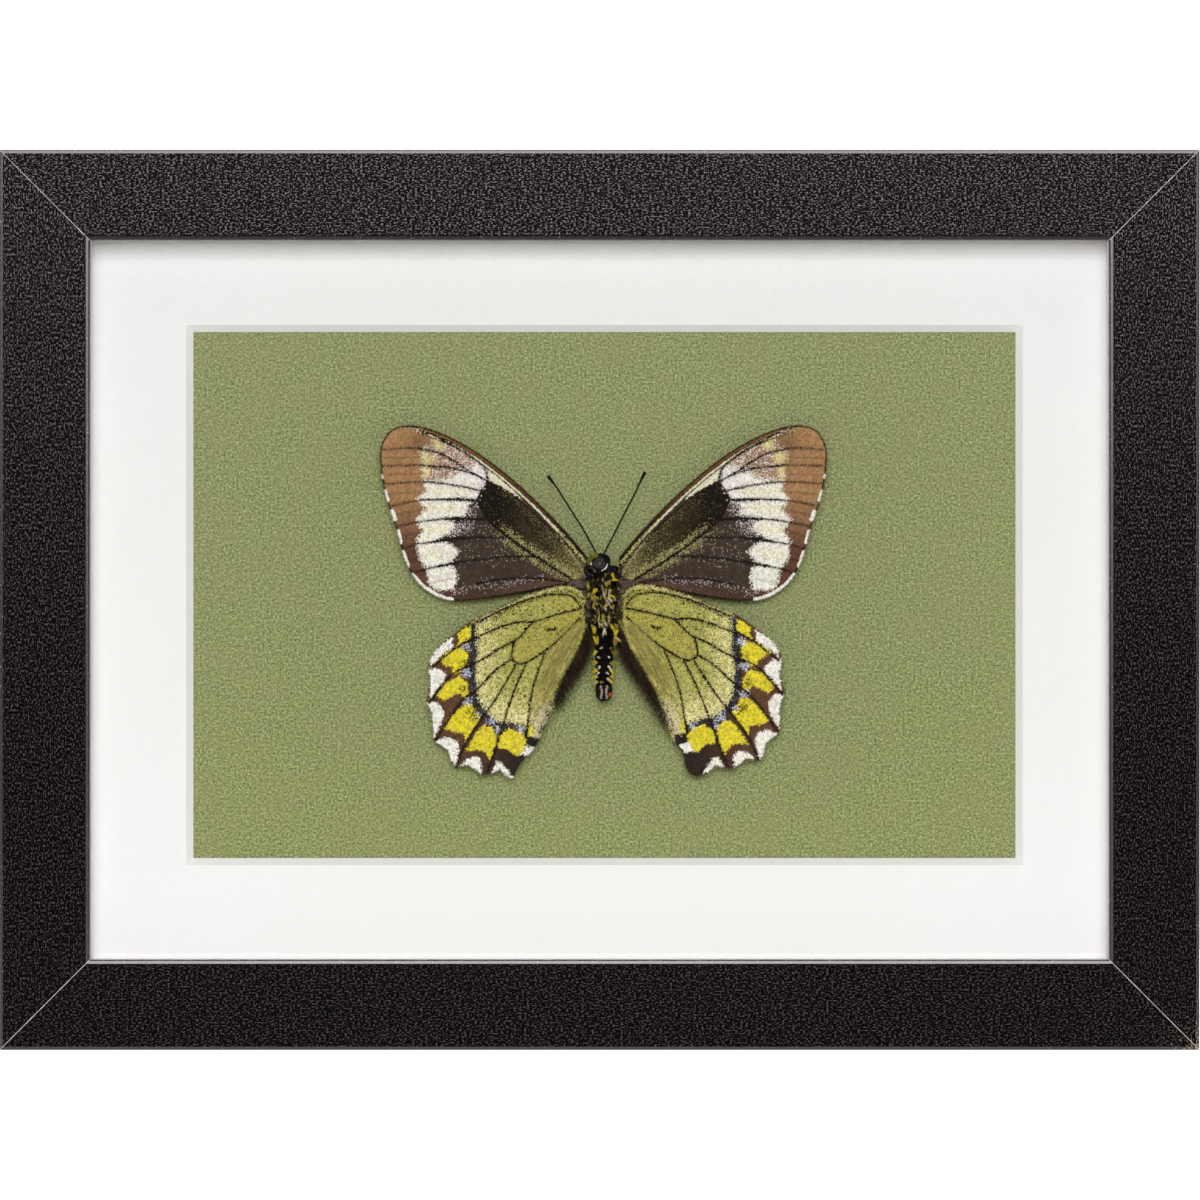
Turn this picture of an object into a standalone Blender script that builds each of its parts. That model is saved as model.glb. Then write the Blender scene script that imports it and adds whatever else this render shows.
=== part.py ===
"""A butterfly specimen in a box frame, shown with its underside to the viewer.

The frame stands on its bottom rail.  X runs to the viewer's right, +Z is up and
the glass faces -Y.  The origin is the middle of the frame's bottom, in metres.
"""
import math

import bmesh
import bpy
from mathutils import Matrix, Vector

MM = 0.001

# Driving sizes of the frame
FRAME_WIDTH = 0.240
FRAME_HEIGHT = 0.180
FRAME_DEPTH = 0.030
FACE_WIDTH = 0.018
LIP_THICKNESS = 0.003
REBATE_WALL = 0.0147
CLEARANCE = 0.0003
MITRE_GAP = 0.0003
OUTER_ROUND = 0.0008
INNER_ROUND = 0.0005

# Sheets and strips inside the rebate
GLASS_THICKNESS = 0.002
SPACER_DEPTH = 0.010
SPACER_THICKNESS = 0.0025
MAT_THICKNESS = 0.0014
CARD_THICKNESS = 0.0008
FOAM_THICKNESS = 0.005
PANEL_THICKNESS = 0.0025

# Window of the mat, at its inner edge, and how far its middle is off centre
WINDOW_WIDTH = 0.1663
WINDOW_HEIGHT = 0.1064
WINDOW_OFFSET_X = 0.001
WINDOW_OFFSET_Z = 0.001

# Steel parts of the back
TAB_WIDTH = 0.007
TAB_LENGTH = 0.013
TAB_THICKNESS = 0.0004
TAB_IN_RAIL = 0.005
HANGER_LENGTH = 0.038
HANGER_HEIGHT = 0.008
HANGER_THICKNESS = 0.0008
HANGER_LIFT = 0.0012
HANGER_TEETH = 9
TOOTH_DEPTH = 0.0016
HANGER_DROP = 0.020
NAIL_SPACING = 0.032
NAIL_HEAD_RADIUS = 0.0019
NAIL_HEAD_HEIGHT = 0.0008
NAIL_SHANK_RADIUS = 0.0006
NAIL_LENGTH = 0.0030

# The specimen: middle of the thorax in the frame, and where its layers lie
BODY_X = 0.0008
BODY_Z = 0.090
BODY_LAYER = 0.0120
FOREWING_LAYER = 0.0132
FOREWING_LIFT = 0.0008
HINDWING_LAYER = 0.0122
HINDWING_DROP = 0.0005
WING_THICKNESS = 0.0003
FOREWING_REACH = 0.044
HINDWING_REACH = 0.035
HINDWING_TURN_RIGHT = math.radians(3.0)
WING_SLICE = 0.005
PIN_RADIUS = 0.00025
PIN_HOLE_RADIUS = 0.0006
PIN_TIP_IN_FOAM = 0.003
PIN_TIP_IN_THORAX = 0.0005

# Wing outlines are given as seen in line with the frame's front face, from
# 1.5 m away; the specimen lies deeper, so its real size is a little larger
SEEN_TO_REAL = 1.008

# Outline of a forewing, outward and up from the middle of the body, in
# millimetres: along the front edge, round the tip and back to the root
FOREWING_EDGE = [[
    (3.2, 8.4), (7.2, 13.2), (13.8, 20.0), (20.4, 25.8), (27.0, 30.5),
    (33.6, 33.7), (38.5, 34.8), (42.2, 34.0), (44.1, 31.4), (44.5, 28.0),
    (43.6, 21.4), (41.2, 14.0), (39.3, 7.4), (36.3, 2.9), (31.6, 0.3),
    (25.6, 0.2), (15.6, 1.8), (6.6, 3.6), (3.6, 4.2),
]]

# Outline of a hindwing in the same way: the front edge, then five scallops
# between the vein tips
HINDWING_EDGE = [
    [(3.0, -2.0), (3.6, 0.2), (4.9, 2.0), (7.1, 2.8), (11.4, 2.2), (17.5, 0.0),
     (22.4, -2.4), (26.1, -4.1), (29.2, -6.4), (33.5, -10.1), (35.1, -13.7)],
    [(35.1, -13.7), (34.5, -15.9), (34.8, -18.0), (35.3, -20.5)],
    [(35.3, -20.5), (34.2, -22.6), (34.0, -25.7), (33.8, -28.1)],
    [(33.8, -28.1), (31.0, -30.0), (30.4, -32.1), (29.5, -33.5)],
    [(29.5, -33.5), (27.3, -32.9), (25.5, -33.9), (24.1, -34.9)],
    [(24.1, -34.9), (22.1, -34.4), (20.6, -33.9), (19.4, -35.2), (18.3, -35.6)],
]

# The folded inner edge up to the root; the left wing has lost a bit of its tail
HINDWING_INNER_EDGE = {
    "left": [(18.3, -35.6), (16.3, -32.1), (13.9, -29.5), (12.3, -26.3), (9.6, -20.5),
             (7.1, -15.3), (5.0, -11.6), (3.6, -8.5), (2.8, -5.2), (3.0, -2.0)],
    "right": [(18.3, -35.6), (16.4, -35.8), (15.0, -34.3), (14.4, -31.1), (12.6, -28.2), (9.6, -20.5),
              (7.1, -15.3), (5.0, -11.6), (3.6, -8.5), (2.8, -5.2), (3.0, -2.0)],
}

# Each antenna from the head to its tip, the club's share of its length, and
# how far the tip comes forward of the root
ANTENNA_ROOT_LAYER = 0.0112
ANTENNA_LEAN = 0.0016
ANTENNA_RADIUS = 0.00017
ANTENNA_CLUB_RADIUS = 0.00036
ANTENNA_CLUB_SHARE = 0.22
ANTENNA_PATHS = {
    "left": [(-1.7, 9.9), (-3.9, 13.9), (-6.6, 18.2), (-8.6, 21.4), (-10.0, 23.4), (-11.2, 25.0)],
    "right": [(0.2, 9.7), (2.1, 13.2), (4.7, 18.3), (6.5, 21.8), (7.5, 24.0), (8.4, 25.8)],
}

# Head, thorax and abdomen: centres off the body's middle and half sizes
# across, along the body and in depth, in millimetres
HEAD_CENTRE = (-0.5, 8.0)
HEAD_HALF = (1.8, 1.35, 1.5)
EYE_CENTRE = (-0.8, 7.5)
EYE_RADIUS = 1.32
EYE_LAYER = 10.7
THORAX_CENTRE = (0.0, 0.45)
THORAX_HALF = (2.6, 5.3, 2.9)
ABDOMEN_TOP = -5.3
ABDOMEN_X = 0.1
ABDOMEN_SHOULDER = 0.15
ABDOMEN_NECK_RADIUS = 0.9
ABDOMEN_FIRST_SHARE = 0.75
ABDOMEN_SEGMENTS = 7
ABDOMEN_LENGTH = 11.6
ABDOMEN_RADIUS_TOP = 1.85
ABDOMEN_RADIUS_END = 1.45
ABDOMEN_GROOVE = 0.14
CLASPER_LENGTH = 3.4
CLASPER_RADIUS = 1.7
CLASPER_SHAPE = ((0.12, 0.92), (0.35, 1.0), (0.62, 0.98), (0.85, 0.78), (0.96, 0.42))

# The curled proboscis beside the eye, in millimetres
PROBOSCIS_CENTRE = (-2.9, 5.8)
PROBOSCIS_LAYER = 8.6
PROBOSCIS_START = math.radians(35)
PROBOSCIS_STEPS = 22
PROBOSCIS_TURNS = 1.6
PROBOSCIS_OUTER = 1.15
PROBOSCIS_INNER = 0.45
PROBOSCIS_RADIUS = 0.16

# Folded legs over the thorax, each as (across, up, depth) in millimetres
LEG_RADIUS = 0.00021
LEG_PATHS = {
    "front_left": [(-2.9, 4.6, 9.3), (-2.2, 2.6, 8.5), (-0.9, 3.8, 8.3), (-0.4, 1.6, 8.5)],
    "front_right": [(2.9, 3.8, 9.6), (2.4, 1.4, 8.8), (1.1, 2.9, 8.3), (0.7, 0.6, 8.5)],
    "hind_left": [(-2.7, -0.6, 9.6), (-1.9, -2.8, 9.1), (-0.9, -1.0, 8.4), (-0.5, -3.9, 9.1)],
    "hind_right": [(2.7, -0.9, 9.6), (2.0, -3.2, 9.2), (1.0, -1.3, 8.4), (0.6, -4.3, 9.2)],
}


def clear_scene():
    for item in list(bpy.data.objects):
        bpy.data.objects.remove(item, do_unlink=True)


def make_collection(name):
    collection = bpy.data.collections.new(name)
    bpy.context.scene.collection.children.link(collection)
    return collection


def make_material(name, colour, roughness, metallic=0.0, transmission=0.0):
    material = bpy.data.materials.new(name)
    material.use_nodes = True
    shader = material.node_tree.nodes["Principled BSDF"]
    shader.inputs["Base Color"].default_value = (*colour, 1.0)
    shader.inputs["Roughness"].default_value = roughness
    shader.inputs["Metallic"].default_value = metallic
    shader.inputs["Transmission Weight"].default_value = transmission
    return material


def back_from_front(depth):
    """The Y of a depth that is measured back from the frame's front face."""
    return depth - FRAME_DEPTH / 2


def new_object(name, data, material, collection):
    item = bpy.data.objects.new(name, data)
    collection.objects.link(item)
    if material is not None:
        data.materials.append(material)
    return item


def mesh_from(bm, name):
    bmesh.ops.recalc_face_normals(bm, faces=bm.faces)
    mesh = bpy.data.meshes.new(name)
    bm.to_mesh(mesh)
    bm.free()
    return mesh


def box_mesh(name, size):
    bm = bmesh.new()
    bmesh.ops.create_cube(bm, size=1.0)
    bmesh.ops.scale(bm, vec=Vector(size), verts=bm.verts)
    return mesh_from(bm, name)


def add_box(name, size, centre, material, collection):
    item = new_object(name, box_mesh(name, size), material, collection)
    item.location = centre
    return item


def add_cutter(name, mesh, location, collection):
    cutter = new_object(name, mesh, None, collection)
    cutter.location = location
    cutter.hide_render = True
    cutter.display_type = "WIRE"
    return cutter


def cylinder_mesh(name, radius, length, sides=16):
    """A cylinder along Y, about its own middle."""
    bm = bmesh.new()
    bmesh.ops.create_cone(bm, cap_ends=True, segments=sides, radius1=radius, radius2=radius, depth=length)
    bmesh.ops.rotate(bm, verts=bm.verts, cent=(0, 0, 0), matrix=Matrix.Rotation(math.pi / 2, 3, "X"))
    return mesh_from(bm, name)


def cut(item, cutter):
    boolean = item.modifiers.new("cut", "BOOLEAN")
    boolean.operation = "DIFFERENCE"
    boolean.solver = "EXACT"
    boolean.object = cutter


def join(item, other):
    boolean = item.modifiers.new("join", "BOOLEAN")
    boolean.operation = "UNION"
    boolean.solver = "EXACT"
    boolean.object = other


def smooth_path(points, steps):
    """Points on a smooth curve through the given ones, with both ends kept."""
    padded = [points[0]] + list(points) + [points[-1]]
    path = []
    for index in range(1, len(padded) - 2):
        before, start, end, after = [Vector(p) for p in padded[index - 1:index + 3]]
        for step in range(steps):
            t = step / steps
            path.append(0.5 * (2 * start + (end - before) * t
                               + (2 * before - 5 * start + 4 * end - after) * t * t
                               + (3 * start - before - 3 * end + after) * t * t * t))
    path.append(Vector(points[-1]))
    return path


def rounded_corner(corner, before, after, radius, steps=3):
    """The arc that rounds one right-angled corner of a profile."""
    corner = Vector(corner)
    towards_before = (Vector(before) - corner).normalized()
    towards_after = (Vector(after) - corner).normalized()
    centre = corner + (towards_before + towards_after) * radius
    arc = []
    for step in range(steps + 1):
        angle = math.pi / 2 * step / steps
        spoke = towards_after * math.cos(angle) + towards_before * math.sin(angle)
        arc.append(centre - spoke * radius)
    return arc


def rail_profile():
    """The rail's section as (inward, depth) points, front face first."""
    corners = [(0, 0), (FACE_WIDTH, 0), (FACE_WIDTH, LIP_THICKNESS),
               (REBATE_WALL, LIP_THICKNESS), (REBATE_WALL, FRAME_DEPTH), (0, FRAME_DEPTH)]
    radii = [OUTER_ROUND, INNER_ROUND, 0, 0, 0, OUTER_ROUND]
    points = []
    for index, corner in enumerate(corners):
        if radii[index]:
            after = corners[(index + 1) % len(corners)]
            points += rounded_corner(corner, corners[index - 1], after, radii[index])
        else:
            points.append(Vector(corner))
    return points


def rail_mesh(name, length):
    """A rail along X with its outer side at z = 0, sawn at 45 degrees at both ends."""
    bm = bmesh.new()
    ring = [bm.verts.new((-length / 2, back_from_front(depth), inward)) for inward, depth in rail_profile()]
    section = bm.faces.new(ring)
    extruded = bmesh.ops.extrude_face_region(bm, geom=[section])
    moved = [part for part in extruded["geom"] if isinstance(part, bmesh.types.BMVert)]
    bmesh.ops.translate(bm, verts=moved, vec=(length, 0, 0))
    for side in (-1, 1):
        everything = bm.verts[:] + bm.edges[:] + bm.faces[:]
        corner = (side * (length / 2 - MITRE_GAP * math.sqrt(0.5)), 0, 0)
        bmesh.ops.bisect_plane(bm, geom=everything, plane_co=corner, plane_no=(side, 0, 1), clear_outer=True)
        bmesh.ops.holes_fill(bm, edges=[edge for edge in bm.edges if edge.is_boundary])
    return mesh_from(bm, name)


def tab_places():
    """Each tab's name, its middle's (x, z) at the rebate wall and its inward direction."""
    wall_x = FRAME_WIDTH / 2 - REBATE_WALL
    wall_z = FRAME_HEIGHT / 2 - REBATE_WALL
    middle = FRAME_HEIGHT / 2
    spread = FRAME_WIDTH * 0.23
    return {
        "back_tab_top_left": ("frame_rail_top", -spread, middle + wall_z, 0, -1),
        "back_tab_top_right": ("frame_rail_top", spread, middle + wall_z, 0, -1),
        "back_tab_bottom_left": ("frame_rail_bottom", -spread, middle - wall_z, 0, 1),
        "back_tab_bottom_right": ("frame_rail_bottom", spread, middle - wall_z, 0, 1),
        "back_tab_left": ("frame_rail_left", -wall_x, middle, 1, 0),
        "back_tab_right": ("frame_rail_right", wall_x, middle, -1, 0),
    }


def layer_depths():
    """The depth of the front of each sheet, each one a clearance behind the last."""
    layers = [("glass", GLASS_THICKNESS), ("spacer", SPACER_DEPTH), ("mat", MAT_THICKNESS),
              ("card", CARD_THICKNESS), ("foam", FOAM_THICKNESS), ("panel", PANEL_THICKNESS),
              ("tab", TAB_THICKNESS)]
    depth = LIP_THICKNESS + CLEARANCE
    fronts = {}
    for name, thickness in layers:
        fronts[name] = depth
        depth += thickness + CLEARANCE
    return fronts


def build_rails(parts, material):
    middle = FRAME_HEIGHT / 2
    placing = {
        "frame_rail_bottom": (FRAME_WIDTH, 0, (0, 0, 0)),
        "frame_rail_left": (FRAME_HEIGHT, math.pi / 2, (-FRAME_WIDTH / 2, 0, middle)),
        "frame_rail_top": (FRAME_WIDTH, math.pi, (0, 0, FRAME_HEIGHT)),
        "frame_rail_right": (FRAME_HEIGHT, -math.pi / 2, (FRAME_WIDTH / 2, 0, middle)),
    }
    rails = {}
    for name, (length, turn, location) in placing.items():
        rail = new_object(name, rail_mesh(name, length), material, parts)
        rail.rotation_euler = (0, turn, 0)
        rail.location = location
        rails[name] = rail
    return rails


def build_tabs(parts, cutters, material, rails, fronts):
    y = back_from_front(fronts["tab"] + TAB_THICKNESS / 2)
    for name, (rail_name, x, z, inward_x, inward_z) in tab_places().items():
        shift = TAB_LENGTH / 2 - TAB_IN_RAIL
        centre = (x + inward_x * shift, y, z + inward_z * shift)
        along_x = TAB_LENGTH if inward_x else TAB_WIDTH
        along_z = TAB_LENGTH if inward_z else TAB_WIDTH
        add_box(name, (along_x, TAB_THICKNESS, along_z), centre, material, parts)
        room = 2 * CLEARANCE
        slot = box_mesh(name + "_slot", (along_x + room, TAB_THICKNESS + room, along_z + room))
        cut(rails[rail_name], add_cutter(name + "_slot", slot, centre, cutters))


def build_sheets(parts, cutters, materials, fronts):
    """Glass, mat, card, foam board and back panel, all cut to the rebate's size."""
    width = FRAME_WIDTH - 2 * REBATE_WALL - 2 * CLEARANCE
    height = FRAME_HEIGHT - 2 * REBATE_WALL - 2 * CLEARANCE
    sheets = {}
    for name, layer, thickness in (("glass", "glass", GLASS_THICKNESS), ("mat", "mat", MAT_THICKNESS),
                                   ("mount_card", "card", CARD_THICKNESS),
                                   ("foam_board", "foam", FOAM_THICKNESS),
                                   ("back_panel", "panel", PANEL_THICKNESS)):
        centre = (0, back_from_front(fronts[layer] + thickness / 2), FRAME_HEIGHT / 2)
        sheets[name] = add_box(name, (width, thickness, height), centre, materials[name], parts)
    cut_window(sheets["mat"], cutters)
    pin_hole = cylinder_mesh("pin_hole", PIN_HOLE_RADIUS, 2 * PIN_TIP_IN_FOAM + 2 * CARD_THICKNESS)
    hole_at = (BODY_X, back_from_front(fronts["foam"]), BODY_Z)
    hole = add_cutter("pin_hole", pin_hole, hole_at, cutters)
    cut(sheets["mount_card"], hole)
    cut(sheets["foam_board"], hole)
    return sheets


def cut_window(mat, cutters):
    """The mat's window: a frustum that is wider at the front by the 45 degree bevel."""
    bm = bmesh.new()
    bmesh.ops.create_cube(bm, size=1.0)
    reach = 2 * MAT_THICKNESS
    for vert in bm.verts:
        wider = 2 * (reach + MAT_THICKNESS / 2) if vert.co.y < 0 else 2 * (MAT_THICKNESS / 2 - reach)
        vert.co.x *= WINDOW_WIDTH + wider
        vert.co.z *= WINDOW_HEIGHT + wider
        vert.co.y *= 2 * reach
    location = mat.location + Vector((WINDOW_OFFSET_X, 0, WINDOW_OFFSET_Z))
    cut(mat, add_cutter("mat_window", mesh_from(bm, "mat_window"), location, cutters))


def build_spacers(parts, material, fronts):
    half_width = FRAME_WIDTH / 2 - REBATE_WALL - CLEARANCE
    half_height = FRAME_HEIGHT / 2 - REBATE_WALL - CLEARANCE
    y = back_from_front(fronts["spacer"] + SPACER_DEPTH / 2)
    middle = FRAME_HEIGHT / 2
    for side, sign in (("left", -1), ("right", 1)):
        x = sign * (half_width - SPACER_THICKNESS / 2)
        size = (SPACER_THICKNESS, SPACER_DEPTH, 2 * half_height)
        add_box("spacer_" + side, size, (x, y, middle), material, parts)
    length = 2 * (half_width - SPACER_THICKNESS - CLEARANCE)
    for side, sign in (("bottom", -1), ("top", 1)):
        z = middle + sign * (half_height - SPACER_THICKNESS / 2)
        add_box("spacer_" + side, (length, SPACER_DEPTH, SPACER_THICKNESS), (0, y, z), material, parts)


def hanger_outline():
    """The plate seen from behind, with its teeth on the lower edge."""
    half = HANGER_LENGTH / 2
    toothed = NAIL_SPACING / 2 - 2 * NAIL_HEAD_RADIUS
    pitch = 2 * toothed / HANGER_TEETH
    points = [(-half, 0), (-half, HANGER_HEIGHT), (half, HANGER_HEIGHT), (half, 0)]
    for tooth in range(HANGER_TEETH):
        start = toothed - tooth * pitch
        points.append((start, 0))
        points.append((start - pitch / 2, TOOTH_DEPTH))
    points.append((-toothed, 0))
    return points


def build_hanger(parts, cutters, material, panel, fronts):
    """A toothed plate with its middle stretch lifted off the panel, and its two nails."""
    top = FRAME_HEIGHT - HANGER_DROP
    panel_back = fronts["panel"] + PANEL_THICKNESS
    bm = bmesh.new()
    ring = [bm.verts.new((x, 0, z - HANGER_HEIGHT / 2)) for x, z in hanger_outline()]
    plate = bm.faces.new(ring)
    extruded = bmesh.ops.extrude_face_region(bm, geom=[plate])
    moved = [part for part in extruded["geom"] if isinstance(part, bmesh.types.BMVert)]
    bmesh.ops.translate(bm, verts=moved, vec=(0, HANGER_THICKNESS, 0))
    foot = NAIL_SPACING / 2 - NAIL_HEAD_RADIUS - CLEARANCE
    for place in (-foot, -foot + HANGER_LIFT, foot - HANGER_LIFT, foot):
        everything = bm.verts[:] + bm.edges[:] + bm.faces[:]
        bmesh.ops.bisect_plane(bm, geom=everything, plane_co=(place, 0, 0), plane_no=(1, 0, 0))
    for vert in bm.verts:
        if abs(vert.co.x) < foot - HANGER_LIFT / 2:
            vert.co.y += HANGER_LIFT
    hanger = new_object("hanger", mesh_from(bm, "hanger"), material, parts)
    hanger.location = (0, back_from_front(panel_back + CLEARANCE), top)
    for side, sign in (("left", -1), ("right", 1)):
        x = sign * NAIL_SPACING / 2
        head_y = back_from_front(panel_back + CLEARANCE + HANGER_THICKNESS + CLEARANCE)
        nail = build_nail("hanger_nail_" + side, material, parts)
        nail.location = (x, head_y, top)
        hole_mesh = cylinder_mesh("nail_hole_" + side, NAIL_SHANK_RADIUS + CLEARANCE, 3 * NAIL_LENGTH)
        hole_y = back_from_front(panel_back)
        hole = add_cutter("nail_hole_" + side, hole_mesh, (x, hole_y, top), cutters)
        cut(hanger, hole)
        cut(panel, hole)


def build_nail(name, material, parts):
    """A turned nail along Y with its domed head at +Y and its shank running forward."""
    profile = []
    for angle in (90, 60, 30, 10):
        dome = math.radians(angle)
        profile.append((NAIL_HEAD_RADIUS * math.cos(dome), NAIL_HEAD_HEIGHT * math.sin(dome)))
    profile[0] = (0, NAIL_HEAD_HEIGHT)
    profile += [(NAIL_HEAD_RADIUS, 0), (NAIL_SHANK_RADIUS, 0), (NAIL_SHANK_RADIUS, -NAIL_LENGTH),
                (0, -NAIL_LENGTH)]
    nail = turned(name, profile, 16, material, parts)
    nail.rotation_euler = (-math.pi / 2, 0, 0)
    return nail


def turned(name, profile, steps, material, parts):
    """A solid turned about Z from a (radius, height) profile that runs top to bottom."""
    mesh = bpy.data.meshes.new(name)
    vertices = [(radius, 0, height) for radius, height in profile]
    edges = [(index, index + 1) for index in range(len(profile) - 1)]
    mesh.from_pydata(vertices, edges, [])
    item = new_object(name, mesh, material, parts)
    screw = item.modifiers.new("turn", "SCREW")
    screw.axis = "Z"
    screw.steps = steps
    screw.render_steps = steps
    screw.use_merge_vertices = True
    screw.merge_threshold = 0.00001
    return item


def body_point(across, up, depth):
    """A point of the specimen, from millimetres off the middle of its body."""
    return Vector((BODY_X + across * MM, back_from_front(depth * MM), BODY_Z + up * MM))


def ellipsoid_mesh(name, half_sizes, segments=20, rings=12):
    """An ellipsoid whose half sizes are across, along the body and in depth."""
    bm = bmesh.new()
    bmesh.ops.create_uvsphere(bm, u_segments=segments, v_segments=rings, radius=1.0)
    across, along, deep = half_sizes
    bmesh.ops.scale(bm, vec=(across * MM, deep * MM, along * MM), verts=bm.verts)
    mesh = mesh_from(bm, name)
    mesh.shade_smooth()
    return mesh


def build_head(parts, cutters, materials):
    head = new_object("head", ellipsoid_mesh("head", HEAD_HALF, 16, 10), materials["body"], parts)
    head.location = body_point(*HEAD_CENTRE, BODY_LAYER / MM)
    eye_mesh = ellipsoid_mesh("eye", (EYE_RADIUS,) * 3, 16, 10)
    eye = add_cutter("eye", eye_mesh, body_point(*EYE_CENTRE, EYE_LAYER), cutters)
    join(head, eye)


def build_thorax(parts, cutters, materials):
    thorax = new_object("thorax", ellipsoid_mesh("thorax", THORAX_HALF), materials["body"], parts)
    centre = body_point(*THORAX_CENTRE, BODY_LAYER / MM)
    thorax.location = centre
    hole_length = 2 * (THORAX_HALF[2] * MM + PIN_TIP_IN_THORAX)
    hole_mesh = cylinder_mesh("thorax_pin_hole", PIN_HOLE_RADIUS, hole_length)
    hole_y = centre.y - PIN_TIP_IN_THORAX - CLEARANCE + hole_length / 2
    cut(thorax, add_cutter("thorax_pin_hole", hole_mesh, (BODY_X, hole_y, BODY_Z), cutters))


def abdomen_profile():
    """(radius, height) points in metres: seven banded segments, then the clasper block."""
    pitch = ABDOMEN_LENGTH / ABDOMEN_SEGMENTS
    first = ABDOMEN_TOP - ABDOMEN_SHOULDER
    points = [(0, ABDOMEN_TOP), (ABDOMEN_NECK_RADIUS, ABDOMEN_TOP - ABDOMEN_SHOULDER / 2)]
    for segment in range(ABDOMEN_SEGMENTS):
        share = segment / (ABDOMEN_SEGMENTS - 1)
        radius = ABDOMEN_RADIUS_TOP + (ABDOMEN_RADIUS_END - ABDOMEN_RADIUS_TOP) * share
        start = first - pitch * segment
        waist = 1.0 if segment else ABDOMEN_FIRST_SHARE
        points.append((radius * waist - ABDOMEN_GROOVE, start))
        points.append((radius, start - pitch / 3))
        points.append((radius, start - pitch * 3 / 4))
    block = first - ABDOMEN_LENGTH
    points.append((ABDOMEN_RADIUS_END - ABDOMEN_GROOVE, block))
    for down, share in CLASPER_SHAPE:
        points.append((CLASPER_RADIUS * share, block - CLASPER_LENGTH * down))
    points.append((0, block - CLASPER_LENGTH))
    return [(radius * MM, height * MM) for radius, height in points]


def build_abdomen(parts, materials):
    abdomen = turned("abdomen", abdomen_profile(), 18, materials["body"], parts)
    abdomen.location = body_point(ABDOMEN_X, 0, BODY_LAYER / MM)


def tube(name, points, radii, material, parts, resolution=2):
    """A round tube through the points, with one radius at each of them."""
    curve = bpy.data.curves.new(name, "CURVE")
    curve.dimensions = "3D"
    curve.bevel_depth = max(radii)
    curve.bevel_resolution = resolution
    curve.use_fill_caps = True
    spline = curve.splines.new("POLY")
    spline.points.add(len(points) - 1)
    for control, point, radius in zip(spline.points, points, radii):
        control.co = (*point, 1.0)
        control.radius = radius / max(radii)
    return new_object(name, curve, material, parts)


def build_antennae(parts, materials):
    for side, path in ANTENNA_PATHS.items():
        flat = smooth_path(path, 3)
        points = []
        radii = []
        for index, (across, up) in enumerate(flat):
            share = index / (len(flat) - 1)
            layer = (ANTENNA_ROOT_LAYER - ANTENNA_LEAN * share) / MM
            points.append(body_point(across, up, layer))
            club = max(0.0, (share - 1 + ANTENNA_CLUB_SHARE) / ANTENNA_CLUB_SHARE)
            swell = math.sin(club * math.pi / 2)
            radii.append(ANTENNA_RADIUS + (ANTENNA_CLUB_RADIUS - ANTENNA_RADIUS) * swell)
        radii[-1] /= 2
        tube("antenna_" + side, points, radii, materials["body"], parts)


def build_proboscis(parts, materials):
    """The rolled-up sucking tube, a flat spiral that faces the viewer."""
    points = []
    for step in range(PROBOSCIS_STEPS + 1):
        share = step / PROBOSCIS_STEPS
        angle = PROBOSCIS_START + 2 * math.pi * PROBOSCIS_TURNS * share
        reach = PROBOSCIS_OUTER + (PROBOSCIS_INNER - PROBOSCIS_OUTER) * share
        across = PROBOSCIS_CENTRE[0] + reach * math.cos(angle)
        up = PROBOSCIS_CENTRE[1] + reach * math.sin(angle)
        points.append(body_point(across, up, PROBOSCIS_LAYER))
    radii = [PROBOSCIS_RADIUS * MM] * len(points)
    tube("proboscis", points, radii, materials["body"], parts)


def build_legs(parts, materials):
    for name, path in LEG_PATHS.items():
        points = [body_point(*place) for place in smooth_path(path, 3)]
        tube("leg_" + name, points, [LEG_RADIUS] * len(points), materials["body"], parts, resolution=1)


def forewing_depth(across):
    return FOREWING_LAYER - FOREWING_LIFT * (across / FOREWING_REACH) ** 2


def hindwing_depth(across):
    return HINDWING_LAYER + HINDWING_DROP * (across / HINDWING_REACH) ** 2


def wing_outline(stretches, side, turn):
    """The closed outline in metres about the body's middle, for one side of the body."""
    outline = []
    for stretch in stretches:
        outline += smooth_path(stretch, 2)[:-1]
    last = Vector(stretches[-1][-1])
    if (last - outline[0]).length > CLEARANCE / MM:
        outline.append(last)
    turned_by = Matrix.Rotation(turn, 2)
    root = Vector(stretches[0][0])
    placed = []
    for point in outline:
        point = (root + turned_by @ (point - root)) * SEEN_TO_REAL * MM
        placed.append((side * point.x, point.y))
    return placed


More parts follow.
